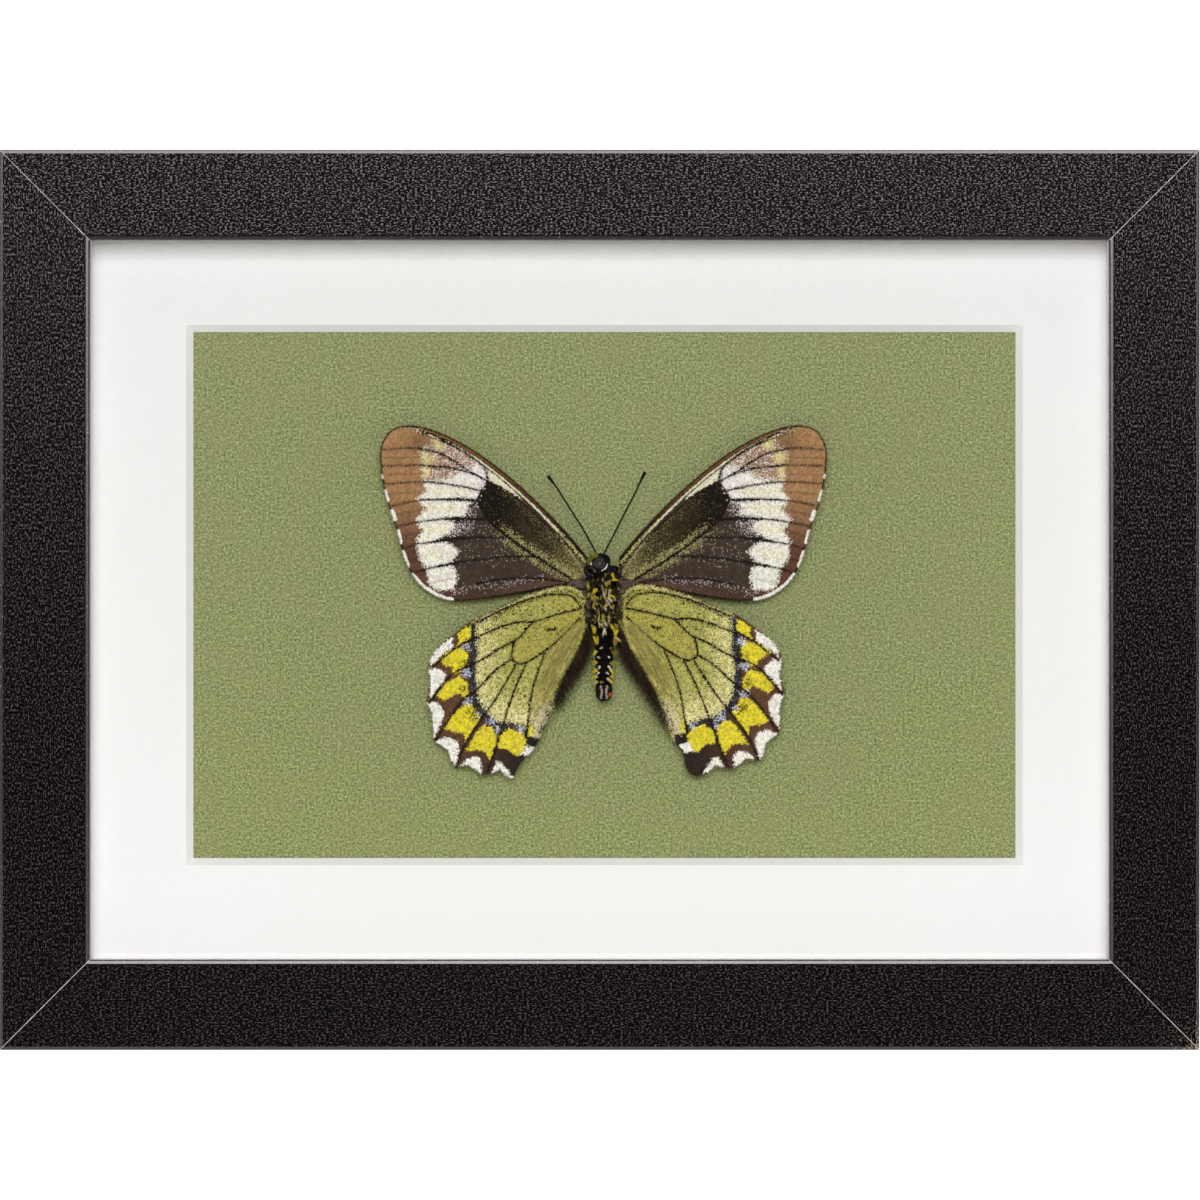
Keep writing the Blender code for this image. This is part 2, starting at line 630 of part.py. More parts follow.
def build_wing(name, outline, depth_at, material, parts):
    """A thin curved plate: the filled outline, sliced across and bent, then given its thickness."""
    curve = bpy.data.curves.new(name, "CURVE")
    curve.dimensions = "2D"
    curve.fill_mode = "FRONT"
    spline = curve.splines.new("POLY")
    spline.points.add(len(outline) - 1)
    for control, (across, up) in zip(spline.points, outline):
        control.co = (across, up, 0, 1.0)
    spline.use_cyclic_u = True
    flat = bpy.data.objects.new(name, curve)
    bpy.context.scene.collection.objects.link(flat)
    evaluated = flat.evaluated_get(bpy.context.evaluated_depsgraph_get())
    mesh = bpy.data.meshes.new_from_object(evaluated)
    bpy.data.objects.remove(flat)
    bm = bmesh.new()
    bm.from_mesh(mesh)
    bpy.data.meshes.remove(mesh)
    bmesh.ops.remove_doubles(bm, verts=bm.verts, dist=0.000001)
    slices = int(max(abs(across) for across, up in outline) / WING_SLICE)
    side = 1 if outline[0][0] > 0 else -1
    for index in range(1, slices + 1):
        everything = bm.verts[:] + bm.edges[:] + bm.faces[:]
        place = (side * index * WING_SLICE, 0, 0)
        bmesh.ops.bisect_plane(bm, geom=everything, plane_co=place, plane_no=(1, 0, 0))
    bmesh.ops.triangulate(bm, faces=bm.faces)
    for vert in bm.verts:
        across, up = vert.co.x, vert.co.y
        vert.co = (BODY_X + across, back_from_front(depth_at(abs(across))), BODY_Z + up)
    wing = new_object(name, mesh_from(bm, name), material, parts)
    wing.data.shade_smooth()
    solidify = wing.modifiers.new("thickness", "SOLIDIFY")
    solidify.thickness = WING_THICKNESS
    solidify.offset = 0
    solidify.use_even_offset = False


def build_wings(parts, materials):
    for side_name, side in (("left", -1), ("right", 1)):
        turn = HINDWING_TURN_RIGHT if side > 0 else 0.0
        forewing = wing_outline(FOREWING_EDGE, side, 0.0)
        hindwing = wing_outline(HINDWING_EDGE + [HINDWING_INNER_EDGE[side_name]], side, turn)
        build_wing("forewing_" + side_name, forewing, forewing_depth, materials["forewing"], parts)
        build_wing("hindwing_" + side_name, hindwing, hindwing_depth, materials["hindwing"], parts)


def build_pin(parts, material, fronts):
    """The headless pin from the foam board, through the card, into the thorax."""
    start = BODY_LAYER - PIN_TIP_IN_THORAX
    end = fronts["foam"] + PIN_TIP_IN_FOAM - CLEARANCE
    taper = 4 * PIN_RADIUS
    profile = [(0, start), (PIN_RADIUS, start), (PIN_RADIUS, end - taper), (0, end)]
    profile = [(radius, end - depth) for radius, depth in profile]
    pin = turned("specimen_pin", profile, 12, material, parts)
    pin.rotation_euler = (math.pi / 2, 0, 0)
    pin.location = (BODY_X, back_from_front(end), BODY_Z)


def main():
    clear_scene()
    parts = make_collection("framed_butterfly")
    cutters = make_collection("cutters")
    materials = {
        "frame": make_material("frame_foil", (0.028, 0.024, 0.026), 0.45),
        "glass": make_material("clear_glass", (1.0, 1.0, 1.0), 0.02, transmission=1.0),
        "spacer": make_material("white_strip", (0.85, 0.84, 0.83), 0.7),
        "mat": make_material("white_board", (0.85, 0.84, 0.83), 0.85),
        "mount_card": make_material("green_card", (0.27, 0.30, 0.13), 0.9),
        "foam_board": make_material("foam", (0.8, 0.8, 0.78), 0.8),
        "back_panel": make_material("hardboard", (0.22, 0.13, 0.07), 0.7),
        "steel": make_material("plated_steel", (0.55, 0.54, 0.50), 0.35, metallic=1.0),
        "body": make_material("dark_chitin", (0.02, 0.017, 0.015), 0.4),
        "forewing": make_material("forewing_scales", (0.16, 0.12, 0.10), 0.75),
        "hindwing": make_material("hindwing_scales", (0.34, 0.31, 0.09), 0.75),
    }
    fronts = layer_depths()
    rails = build_rails(parts, materials["frame"])
    build_tabs(parts, cutters, materials["steel"], rails, fronts)
    sheets = build_sheets(parts, cutters, materials, fronts)
    build_spacers(parts, materials["spacer"], fronts)
    build_hanger(parts, cutters, materials["steel"], sheets["back_panel"], fronts)
    build_head(parts, cutters, materials)
    build_thorax(parts, cutters, materials)
    build_abdomen(parts, materials)
    build_antennae(parts, materials)
    build_proboscis(parts, materials)
    build_legs(parts, materials)
    build_wings(parts, materials)
    build_pin(parts, materials["steel"], fronts)


main()
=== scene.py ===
"""The looks of the framed butterfly: foil rails, glass, card, scaled wings, hairs, light and camera.

Wing marks are polygons and lines in millimetres from the middle of the body, outward
and up, as seen in line with the frame's face.  Each point of a wing's front is a scale
with one colour, and a mark's edge is a mixture of scales.
"""
import math

import bpy
import numpy as np
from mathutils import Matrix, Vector
from mathutils.geometry import delaunay_2d_cdt


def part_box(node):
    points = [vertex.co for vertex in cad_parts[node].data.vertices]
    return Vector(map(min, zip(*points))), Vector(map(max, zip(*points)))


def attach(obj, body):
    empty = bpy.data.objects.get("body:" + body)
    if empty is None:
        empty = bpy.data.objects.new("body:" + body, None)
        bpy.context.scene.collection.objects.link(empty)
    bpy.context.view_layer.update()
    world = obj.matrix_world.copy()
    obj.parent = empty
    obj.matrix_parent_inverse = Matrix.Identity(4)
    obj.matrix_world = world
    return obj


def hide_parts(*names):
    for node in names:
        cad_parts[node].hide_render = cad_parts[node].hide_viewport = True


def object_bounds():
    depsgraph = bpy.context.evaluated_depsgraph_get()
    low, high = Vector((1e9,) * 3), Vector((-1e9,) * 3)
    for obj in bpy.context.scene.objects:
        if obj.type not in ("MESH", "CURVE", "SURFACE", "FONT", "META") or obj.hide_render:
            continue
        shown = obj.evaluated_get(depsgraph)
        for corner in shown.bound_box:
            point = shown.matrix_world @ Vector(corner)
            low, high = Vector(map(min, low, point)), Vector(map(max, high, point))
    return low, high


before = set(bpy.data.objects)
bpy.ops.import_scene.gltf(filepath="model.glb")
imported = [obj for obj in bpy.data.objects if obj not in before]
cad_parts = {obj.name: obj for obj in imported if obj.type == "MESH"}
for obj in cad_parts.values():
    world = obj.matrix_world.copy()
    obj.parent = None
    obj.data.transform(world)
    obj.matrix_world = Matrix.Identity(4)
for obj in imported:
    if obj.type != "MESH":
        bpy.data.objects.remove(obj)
CAD_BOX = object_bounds()

MM = 0.001
SEEN_TO_REAL = 1.008
THORAX_CENTRE_UP = 0.45
THORAX_LOW, THORAX_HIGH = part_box("thorax")
FRAME_LOW, FRAME_HIGH = CAD_BOX
BODY_X = (THORAX_LOW.x + THORAX_HIGH.x) / 2
BODY_Z = (THORAX_LOW.z + THORAX_HIGH.z) / 2 - THORAX_CENTRE_UP * MM

# Rails: section in metres, as in the model, with finer roundings and a closed mitre
FACE_WIDTH = 0.018
LIP_THICKNESS = 0.003
REBATE_WALL = 0.0147
OUTER_ROUND = 0.0002
OUTER_BAND = 0.00045
OUTER_SLOPE = math.radians(5.0)
OUTER_ROUND_POINTS = 6
INNER_ROUND = 0.0003
INNER_BAND = 0.00045
INNER_SLOPE = math.radians(8.0)
INNER_ROUND_START = 0.3
INNER_ROUND_POINTS = 5
GROOVE = 0.0002
MITRE_GAP = 0.00003
MITRE_LINE = 0.00006

# Wings, in millimetres
SCALE_PITCH = 0.16
BACK_PITCH = 1.3
WING_THICKNESS = 0.3
FOREWING_LAYER = 13.2
FOREWING_LIFT = 0.8
FOREWING_REACH = 44.0
HINDWING_LAYER = 12.2
HINDWING_DROP = 0.5
HINDWING_REACH = 35.0
HINDWING_TURN_RIGHT = math.radians(3.0)
VEIN_RISE = 0.07
VEIN_WIDTH = 0.16
PLEAT = 0.12
PLEAT_REACH = 1.8
WAVE = 0.10
WAVE_SIZE = 3.5
SCALE_TILT = 0.012
FLAT_EDGE = 1.2
BACK_SHADE = (70, 60, 50)
FRINGE_PITCH = 0.09
FRINGE_LIFT = 0.02
FRINGE_WIDTH = 0.06

FOREWING_EDGE = [[
    (3.2, 8.4), (7.2, 13.2), (13.8, 20.0), (20.4, 25.8), (27.0, 30.5),
    (33.6, 33.7), (38.5, 34.8), (42.2, 34.0), (44.1, 31.4), (44.5, 28.0),
    (43.6, 21.4), (41.2, 14.0), (39.3, 7.4), (36.3, 2.9), (31.6, 0.3),
    (25.6, 0.2), (15.6, 1.8), (6.6, 3.6), (3.6, 4.2),
]]
HINDWING_EDGE = [
    [(3.0, -2.0), (3.6, 0.2), (4.9, 2.0), (7.1, 2.8), (11.4, 2.2), (17.5, 0.0),
     (22.4, -2.4), (26.1, -4.1), (29.2, -6.4), (33.5, -10.1), (35.1, -13.7)],
    [(35.1, -13.7), (34.5, -15.9), (34.8, -18.0), (35.3, -20.5)],
    [(35.3, -20.5), (34.2, -22.6), (34.0, -25.7), (33.8, -28.1)],
    [(33.8, -28.1), (31.0, -30.0), (30.4, -32.1), (29.5, -33.5)],
    [(29.5, -33.5), (27.3, -32.9), (25.5, -33.9), (24.1, -34.9)],
    [(24.1, -34.9), (22.1, -34.4), (20.6, -33.9), (19.4, -35.2), (18.3, -35.6)],
]
HINDWING_INNER_EDGE = {
    "left": [(18.3, -35.6), (16.3, -32.1), (13.9, -29.5), (12.3, -26.3), (9.6, -20.5),
             (7.1, -15.3), (5.0, -11.6), (3.6, -8.5), (2.8, -5.2), (3.0, -2.0)],
    "right": [(18.3, -35.6), (16.4, -35.8), (15.0, -34.3), (14.4, -31.1), (12.6, -28.2), (9.6, -20.5),
              (7.1, -15.3), (5.0, -11.6), (3.6, -8.5), (2.8, -5.2), (3.0, -2.0)],
}

# Veins of the forewing: the cell's sides first, then those that run to the margin
FOREWING_CELL_TOP = [(3.4, 3.85), (4.7, 6.85), (9.0, 12.5), (14.0, 17.45), (18.95, 21.6), (23.1, 23.75)]
FOREWING_CELL_END = [(23.1, 23.75), (24.6, 21.4), (25.1, 19.9)]
FOREWING_CELL_FOOT = [(25.1, 19.8), (23.3, 16.3), (18.95, 12.5), (13.65, 8.7), (6.35, 4.2)]
FOREWING_VEINS = [
    FOREWING_CELL_TOP, FOREWING_CELL_END, FOREWING_CELL_FOOT,
    [(23.1, 23.75), (23.6, 26.1), (25.6, 28.1), (28.9, 30.4), (32.2, 32.0), (34.5, 33.2), (36.4, 33.4)],
    [(23.1, 23.75), (25.9, 25.2), (28.9, 27.2), (32.2, 29.1), (35.5, 30.05), (38.85, 30.4), (44.0, 30.05)],
    [(25.9, 25.2), (30.2, 26.4), (33.9, 26.7), (37.2, 27.0), (44.0, 26.8)],
    [(24.3, 21.8), (28.9, 22.8), (32.9, 23.4), (37.2, 23.65), (43.5, 23.25)],
    [(25.1, 19.9), (28.9, 20.1), (32.9, 20.1), (37.2, 19.9), (42.2, 18.9)],
    [(23.3, 16.1), (27.2, 16.3), (32.2, 16.2), (37.2, 15.6), (41.7, 14.6)],
    [(18.8, 12.5), (23.9, 12.5), (30.2, 12.3), (33.9, 11.65), (37.2, 11.15), (40.5, 10.15)],
    [(13.65, 8.7), (18.95, 8.7), (25.6, 8.0), (30.6, 7.2), (35.5, 6.2), (38.5, 5.2)],
    [(6.35, 3.4), (12.3, 4.2), (18.95, 4.35), (25.6, 3.2)],
]
# Folds of the forewing, along which the scales are darkened with painted shade
FOREWING_FOLD_SHADE_LINES = [
    [(36.8, 28.5), (43.9, 28.4)], [(36.5, 25.2), (43.9, 25.0)], [(35.5, 21.7), (42.9, 21.2)],
    [(35.3, 18.1), (41.9, 17.0)], [(35.9, 13.8), (41.0, 12.6)], [(36.9, 8.4), (39.6, 7.7)],
    [(30.2, 4.35), (34.9, 3.35)],
]

# Marks of the forewing
BROWN_INNER = [
    (34.5, 32.9), (34.4, 31.6), (37.0, 29.9), (36.6, 27.4), (36.4, 24.1), (35.5, 22.1), (37.3, 20.1),
    (35.5, 18.4), (37.5, 16.1), (36.2, 13.8), (37.3, 11.8), (36.9, 8.2), (35.6, 6.2), (34.8, 3.2),
    (33.9, 2.2),
]
BROWN_AREA = BROWN_INNER + [
    (32.5, 1.75), (28.5, 1.75), (28.0, -2.0), (50.0, -2.0), (50.0, 40.0), (34.5, 40.0),
]
WHITE_AREA = [
    (23.6, 26.1), (23.3, 24.1), (24.6, 21.4), (25.6, 20.0), (27.2, 19.0), (27.4, 17.0), (30.2, 15.8),
    (29.8, 14.3), (32.6, 12.4), (30.6, 11.3), (28.9, 9.8), (30.6, 7.2), (29.7, 6.2), (29.2, 4.2),
    (29.6, 3.2), (29.9, 1.8), (34.5, 1.6), (39.5, 10.0), (40.0, 28.0), (35.5, 33.0), (29.5, 31.0),
    (25.6, 28.1),
]
SUBCOSTAL_WHITE = [
    (16.5, 20.3), (23.1, 23.9), (23.6, 26.1), (25.6, 28.1), (30.5, 31.4), (29.0, 31.0), (24.5, 28.2),
    (20.2, 24.6),
]
SPECKLED_WHITE = [
    (25.0, 19.9), (27.5, 19.0), (28.0, 16.4), (30.5, 16.0), (32.2, 12.6), (29.5, 12.4), (26.2, 15.2),
]
BROWN_OVER_WHITE = [
    (24.7, 28.2), (26.2, 26.9), (28.6, 26.0), (31.0, 24.4), (33.0, 23.8), (37.2, 23.6), (38.0, 30.0),
    (34.5, 33.5), (29.5, 31.2), (26.0, 28.8),
]
YELLOW_SPOTS = [
    [(34.8, 32.5), (33.2, 32.4), (31.9, 31.0), (32.2, 30.0), (33.6, 30.2), (34.6, 31.6)],
    [(37.0, 29.6), (35.2, 29.6), (34.0, 28.6), (34.2, 27.4), (36.0, 27.4), (36.7, 28.6)],
    [(36.9, 26.6), (35.0, 26.6), (34.6, 25.4), (35.3, 24.2), (36.3, 24.6)],
]
CREAM_STREAKS = [[(29.5, 18.3), (36.0, 18.1)], [(31.5, 14.3), (36.0, 13.8)], [(31.5, 9.6), (35.6, 9.0)],
                 [(28.0, 21.6), (35.0, 21.8)]]
DARK_WEDGES = [
    ([(25.1, 19.9), (27.5, 20.05), (31.0, 20.1)], 0.34), ([(23.3, 16.1), (27.2, 16.3), (31.5, 16.2)], 0.38),
    ([(28.0, 12.4), (33.5, 11.8)], 0.34), ([(28.5, 7.6), (33.0, 6.7)], 0.3),
]
SPECKLE_LINE = [(12.3, 4.3), (18.0, 3.7), (25.0, 2.9), (30.2, 1.3)]
FRINGE_DASHES = [
    [(44.5, 24.9), (44.4, 24.6)], [(43.8, 21.7), (43.25, 20.0)], [(42.25, 17.7), (41.65, 16.2)],
    [(41.1, 13.7), (40.6, 11.6)], [(40.15, 9.6), (39.15, 6.8)],
    [(38.2, 5.0), (36.3, 2.9), (33.8, 1.2), (31.6, 0.3), (30.4, 0.15)],
]

# Veins of the hindwing
HINDWING_CELL = [
    (4.7, -1.8), (8.65, -2.7), (14.2, -4.4), (16.3, -7.0), (17.7, -8.2), (18.15, -9.75), (18.3, -11.6),
    (17.2, -12.7), (15.4, -12.5), (12.0, -10.4), (8.65, -7.6), (4.7, -3.6),
]
HINDWING_VEINS = [
    [(4.4, -1.5), (6.2, 0.65), (8.65, 1.1), (11.7, 0.95), (15.7, -0.1), (19.4, -1.5), (22.4, -3.0),
     (25.5, -4.4)],
    [(4.7, -1.8), (8.65, -2.7), (14.2, -4.4), (16.9, -4.4), (20.9, -5.5), (23.65, -6.7), (26.1, -7.8),
     (29.5, -9.5), (34.5, -13.8)],
    HINDWING_CELL[2:],
    [(17.7, -8.1), (20.9, -9.75), (23.65, -11.6), (26.4, -13.0), (30.4, -15.0), (34.8, -20.6)],
    [(18.3, -11.9), (20.9, -13.4), (23.65, -16.2), (26.1, -18.5), (28.6, -20.5), (33.6, -28.0)],
    [(17.5, -13.0), (19.4, -16.2), (21.8, -20.2), (24.0, -23.2), (27.6, -28.7), (29.5, -33.5)],
    [(15.5, -12.8), (17.2, -16.5), (18.8, -20.8), (20.0, -24.45), (20.9, -27.2), (21.5, -29.3),
     (23.35, -34.9)],
    [(11.7, -10.7), (13.25, -14.65), (14.5, -19.55), (15.1, -24.45), (15.4, -27.5)],
]

# Marks of the hindwing
BAND = [(26.3, -5.2), (26.1, -7.9), (26.0, -11.0), (26.3, -13.4), (26.1, -17.1), (25.5, -20.5),
        (23.65, -23.2), (21.2, -25.1), (18.1, -25.4), (15.4, -26.6)]
OUTER_AREA = BAND + [(13.0, -28.6), (13.0, -40.0), (45.0, -40.0), (45.0, 0.0), (27.0, -3.0)]
YELLOW_LUNULES = [
    [(29.2, -7.0), (27.6, -5.5), (26.6, -5.2), (26.5, -7.3), (27.6, -8.2), (29.6, -9.6), (28.9, -7.9)],
    [(33.0, -12.05), (30.7, -10.1), (28.1, -9.45), (27.0, -10.7), (27.3, -12.8), (28.55, -14.35),
     (30.2, -15.1), (30.1, -13.4), (31.6, -13.1)],
    [(33.5, -19.1), (31.6, -16.5), (28.9, -15.1), (27.2, -16.5), (27.0, -18.9), (27.8, -19.7), (29.0, -18.6),
     (31.9, -20.1)],
    [(32.2, -25.8), (30.7, -23.5), (27.9, -20.9), (26.4, -20.9), (24.6, -23.5), (25.8, -25.4), (27.6, -28.3),
     (27.8, -26.6), (29.8, -26.3)],
    [(27.5, -30.3), (25.5, -26.6), (24.0, -25.1), (22.4, -25.4), (21.4, -26.9), (21.5, -29.3), (22.7, -32.1),
     (24.0, -30.4), (25.2, -30.0)],
    [(21.05, -29.65), (20.9, -27.2), (18.8, -25.7), (16.6, -26.3), (15.4, -27.8), (15.7, -30.0),
     (17.4, -31.2), (19.1, -29.8)],
    [(15.1, -25.1), (14.0, -25.2), (14.3, -27.2), (15.2, -27.2)],
]
WHITE_MARKS = [
    [(30.2, -7.6), (31.3, -7.9), (33.6, -10.1), (34.8, -11.9), (34.5, -13.1), (33.0, -11.6), (30.1, -9.4)],
    [(35.3, -13.4), (33.3, -13.6), (31.6, -14.7), (31.9, -16.2), (34.7, -19.7), (34.7, -18.0), (34.6, -15.9)],
    [(35.5, -20.5), (33.45, -20.3), (31.9, -22.0), (31.9, -23.5), (33.9, -27.5), (34.1, -25.7),
     (34.4, -22.6)],
    [(33.8, -28.3), (31.6, -27.5), (29.2, -28.1), (28.9, -30.3), (29.6, -33.2), (30.6, -32.3), (31.2, -30.1)],
    [(29.2, -33.7), (27.3, -31.8), (25.5, -31.3), (24.4, -32.4), (24.4, -35.0), (25.5, -34.1), (27.3, -33.1)],
    [(22.4, -34.7), (21.5, -32.4), (20.3, -32.4), (18.1, -35.6), (19.4, -35.5), (20.6, -34.1)],
    [(16.6, -31.0), (15.4, -29.0), (13.7, -29.5), (14.8, -31.1)],
]
BLUE_CLUSTERS = [(27.3, -9.45, 0.9), (27.6, -14.65, 0.9), (27.3, -20.2, 0.9), (22.4, -24.45, 0.9),
                 (21.2, -26.0, 0.6), (16.6, -26.0, 0.7), (25.2, -22.9, 0.5)]
SPECKLED_YELLOW = [(27.9, -12.9, 0.9), (28.2, -17.8, 0.9), (26.4, -22.9, 1.3)]
TAIL_GREY = [(10.4, -21.0), (12.2, -20.5), (13.8, -25.0), (14.2, -28.0), (12.4, -28.0), (10.5, -23.5)]
TAIL_DARK = [(12.8, -27.6), (15.2, -27.6), (15.2, -29.3), (12.8, -29.3)]

SILKY_AREA = [(4.7, -3.6), (11.7, -10.7), (15.4, -27.5), (12.0, -30.0), (0.0, -12.0), (0.0, -2.0)]

# Body, in millimetres: (across, up, depth)
BODY_LAYER = 12.0
HEAD_CENTRE = (-0.5, 8.0, BODY_LAYER)
HEAD_HALF = (1.8, 1.35, 1.5)
EYE_CENTRE = (-0.76, 7.38, 10.6)
EYE_RADIUS = 1.2
THORAX_CENTRE = (0.0, THORAX_CENTRE_UP, BODY_LAYER)
THORAX_HALF = (2.6, 5.3, 2.9)
ABDOMEN_X = 0.1
ABDOMEN_TOP = -5.3
ABDOMEN_SHOULDER = 0.15
ABDOMEN_SEGMENTS = 7
ABDOMEN_LENGTH = 11.6
ABDOMEN_RADIUS_TOP = 1.85
ABDOMEN_RADIUS_END = 1.45
ABDOMEN_GROOVE = 0.14
CLASPER_LENGTH = 3.4
CLASPER_RADIUS = 1.7
CLASPER_WAIST = 1.45
CLEFT_WIDTH = 0.22
CLEFT_DEPTH = 0.3
ABDOMEN_RINGS = 150
ABDOMEN_SIDES = 56
ABDOMEN_SHADE = (7, 6, 4)
ABDOMEN_SPECK = (32, 27, 20)
CLASPER_SHADE = (34, 27, 23)
CLASPER_STRIPE = (178, 164, 150)
CLASPER_RUST = (176, 84, 36)


def colour(red, green, blue):
    """A display colour, 0 to 255, as linear light."""
    shown = np.array([red, green, blue]) / 255
    return np.where(shown <= 0.04045, shown / 12.92, ((shown + 0.055) / 1.055) ** 2.4)


def smooth_path(points, steps):
    """Points on a smooth curve through the given ones, with both ends kept."""
    padded = np.array([points[0]] + list(points) + [points[-1]], float)
    path = []
    for index in range(1, len(padded) - 2):
        before, start, end, after = padded[index - 1:index + 3]
        for t in np.arange(steps) / steps:
            path.append(0.5 * (2 * start + (end - before) * t
                               + (2 * before - 5 * start + 4 * end - after) * t * t
                               + (3 * start - before - 3 * end + after) * t * t * t))
    path.append(padded[-1])
    return np.array(path)


def distance(points, line, closed=False):
    """How far each point is from a line through several places."""
    line = np.asarray(line, float)
    if closed:
        line = np.vstack([line, line[:1]])
    nearest = np.full(len(points), np.inf)
    for start, end in zip(line[:-1], line[1:]):
        along = end - start
        share = np.clip((points - start) @ along / max(along @ along, 1e-12), 0, 1)
        gap = points - start - share[:, None] * along
        nearest = np.minimum(nearest, gap[:, 0] ** 2 + gap[:, 1] ** 2)
    return np.sqrt(nearest)


def inside(points, polygon):
    across, up = points.T
    within = np.zeros(len(points), bool)
    polygon = np.asarray(polygon, float)
    for (ax, ay), (bx, by) in zip(polygon, np.roll(polygon, -1, axis=0)):
        if ay != by:
            straddles = (ay > up) != (by > up)
            within ^= straddles & (across < ax + (up - ay) * (bx - ax) / (by - ay))
    return within


def depth_inside(points, polygon):
    """Distance to a polygon's edge, positive inside it."""
    return distance(points, polygon, closed=True) * np.where(inside(points, polygon), 1, -1)


def soft_noise(points, size, seed):
    """Smooth random values from 0 to 1 over a plane, in blobs of about that size."""
    table = np.random.default_rng(seed).random((64, 64))
    cell = points / size
    low = np.floor(cell).astype(int)
    part = cell - low
    part = part * part * (3 - 2 * part)
    corner = [[table[(low[:, 0] + i) % 64, (low[:, 1] + j) % 64] for j in (0, 1)] for i in (0, 1)]
    near = corner[0][0] * (1 - part[:, 1]) + corner[0][1] * part[:, 1]
    far = corner[1][0] * (1 - part[:, 1]) + corner[1][1] * part[:, 1]
    return near * (1 - part[:, 0]) + far * part[:, 0]


def soft(depth, width):
    """The share of scales that a mark takes, across an edge that is that wide."""
    return np.clip(depth / width + 0.5, 0, 1)


def peak(gap, width, power=2):
    """A share that falls smoothly from 1 on a line to nothing beyond about that width."""
    return np.exp(-(gap / width) ** power)


def rising(value, width):
    """A share that rises from 0 to 1 over that width."""
    return np.clip(value / width, 0, 1)


def from_path(points, path, steps=3):
    """How far each point is from a smooth curve."""
    return distance(points, smooth_path(path, steps))


def body_point(across, up, depth):
    return np.array([BODY_X + across * MM, FRAME_LOW.y + depth * MM, BODY_Z + up * MM])


def evenly(loop, pitch):
    """Places at an even pitch along a closed loop."""
    loop = np.vstack([loop, loop[:1]])
    run = np.concatenate([[0], np.cumsum(np.linalg.norm(np.diff(loop, axis=0), axis=1))])
    at = np.linspace(0, run[-1], int(run[-1] / pitch), endpoint=False)
    return np.column_stack([np.interp(at, run, loop[:, axis]) for axis in (0, 1)])


def filled(outline, pitch, seed):
    """Points and triangles that fill an outline evenly; the outline's own points come first."""
    low, high = outline.min(0), outline.max(0)
    rows = np.arange(low[1], high[1], pitch * math.sqrt(0.75))
    grid = []
    for index, up in enumerate(rows):
        line = np.arange(low[0] + (index % 2) * pitch / 2, high[0], pitch)
        grid.append(np.column_stack([line, np.full(len(line), up)]))
    grid = np.vstack(grid)
    grid += np.random.default_rng(seed).uniform(-0.25, 0.25, grid.shape) * pitch
    grid = grid[inside(grid, outline)]
    grid = grid[distance(grid, outline, closed=True) > 0.55 * pitch]
    places = [Vector(place) for place in np.vstack([outline, grid]).tolist()]
    ring = [(index, (index + 1) % len(outline)) for index in range(len(outline))]
    found = delaunay_2d_cdt(places, ring, [], 1, 1e-7, False)
    points, faces = np.array([tuple(place) for place in found[0]]), np.array(found[2])
    return points, faces[inside(points[faces].mean(1), outline)]


def mesh_piece(name, points, faces, material, colours=None, smooth=True):
    mesh = bpy.data.meshes.new(name)
    mesh.from_pydata(np.asarray(points).tolist(), [], faces)
    if smooth:
        mesh.shade_smooth()
        mesh.set_sharp_from_angle(angle=math.radians(50))
    if colours is not None:
        attribute = mesh.attributes.new("scales", "FLOAT_COLOR", "POINT")
        attribute.data.foreach_set("color", np.column_stack([colours, np.ones(len(colours))]).ravel())
    for one in material if isinstance(material, list) else [material]:
        mesh.materials.append(one)
    piece = bpy.data.objects.new(name, mesh)
    bpy.context.scene.collection.objects.link(piece)
    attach(piece, "root")
    return piece


class Scales:
    """The colours of a wing's scales, painted one mark over another."""

    def __init__(self, points, seed, ground):
        self.points = points
        self.random = np.random.default_rng(seed)
        self.ragged = soft_noise(points, 0.35, seed + 1) - 0.5
        self.colours = np.tile(colour(*ground), (len(points), 1))

    def paint(self, share, shade):
        chosen = self.random.random(len(self.points)) < share
        self.colours[chosen] = shade[chosen] if np.ndim(shade) == 2 else colour(*shade)

    def area(self, polygon, width, shade, most=1.0):
        depth = depth_inside(self.points, polygon) + 0.5 * self.ragged
        self.paint(soft(depth, width) * most, shade)

    def line(self, line, half_width, shade, most=1.0):
        self.paint(most * peak(distance(self.points, line), half_width), shade)

    def spot(self, across, up, radius, shade, most=1.0):
        away = np.hypot(self.points[:, 0] - across, self.points[:, 1] - up)
        self.paint(most * soft(radius - away + 0.8 * self.ragged, 0.7), shade)

    def tone(self, share, factor):
        """Darkens or lightens the scales smoothly, by up to that factor."""
        self.colours *= (1 + (factor - 1) * np.clip(share, 0, 1))[:, None]

    def varied(self, amount, grain):
        """The colours with each scale a little lighter or darker, alone and in small groups."""
        light = 1 + amount * self.random.standard_normal(len(self.points))
        light += grain * (soft_noise(self.points, 0.34, 900 + len(self.points) % 89) - 0.5)
        tint = 1 + 0.03 * self.random.standard_normal(self.colours.shape)
        return np.clip(self.colours * light[:, None] * tint, 0, 1)


def blended(share, first, second):
    share = np.clip(share, 0, 1)[:, None]
    return colour(*first) * (1 - share) + colour(*second) * share


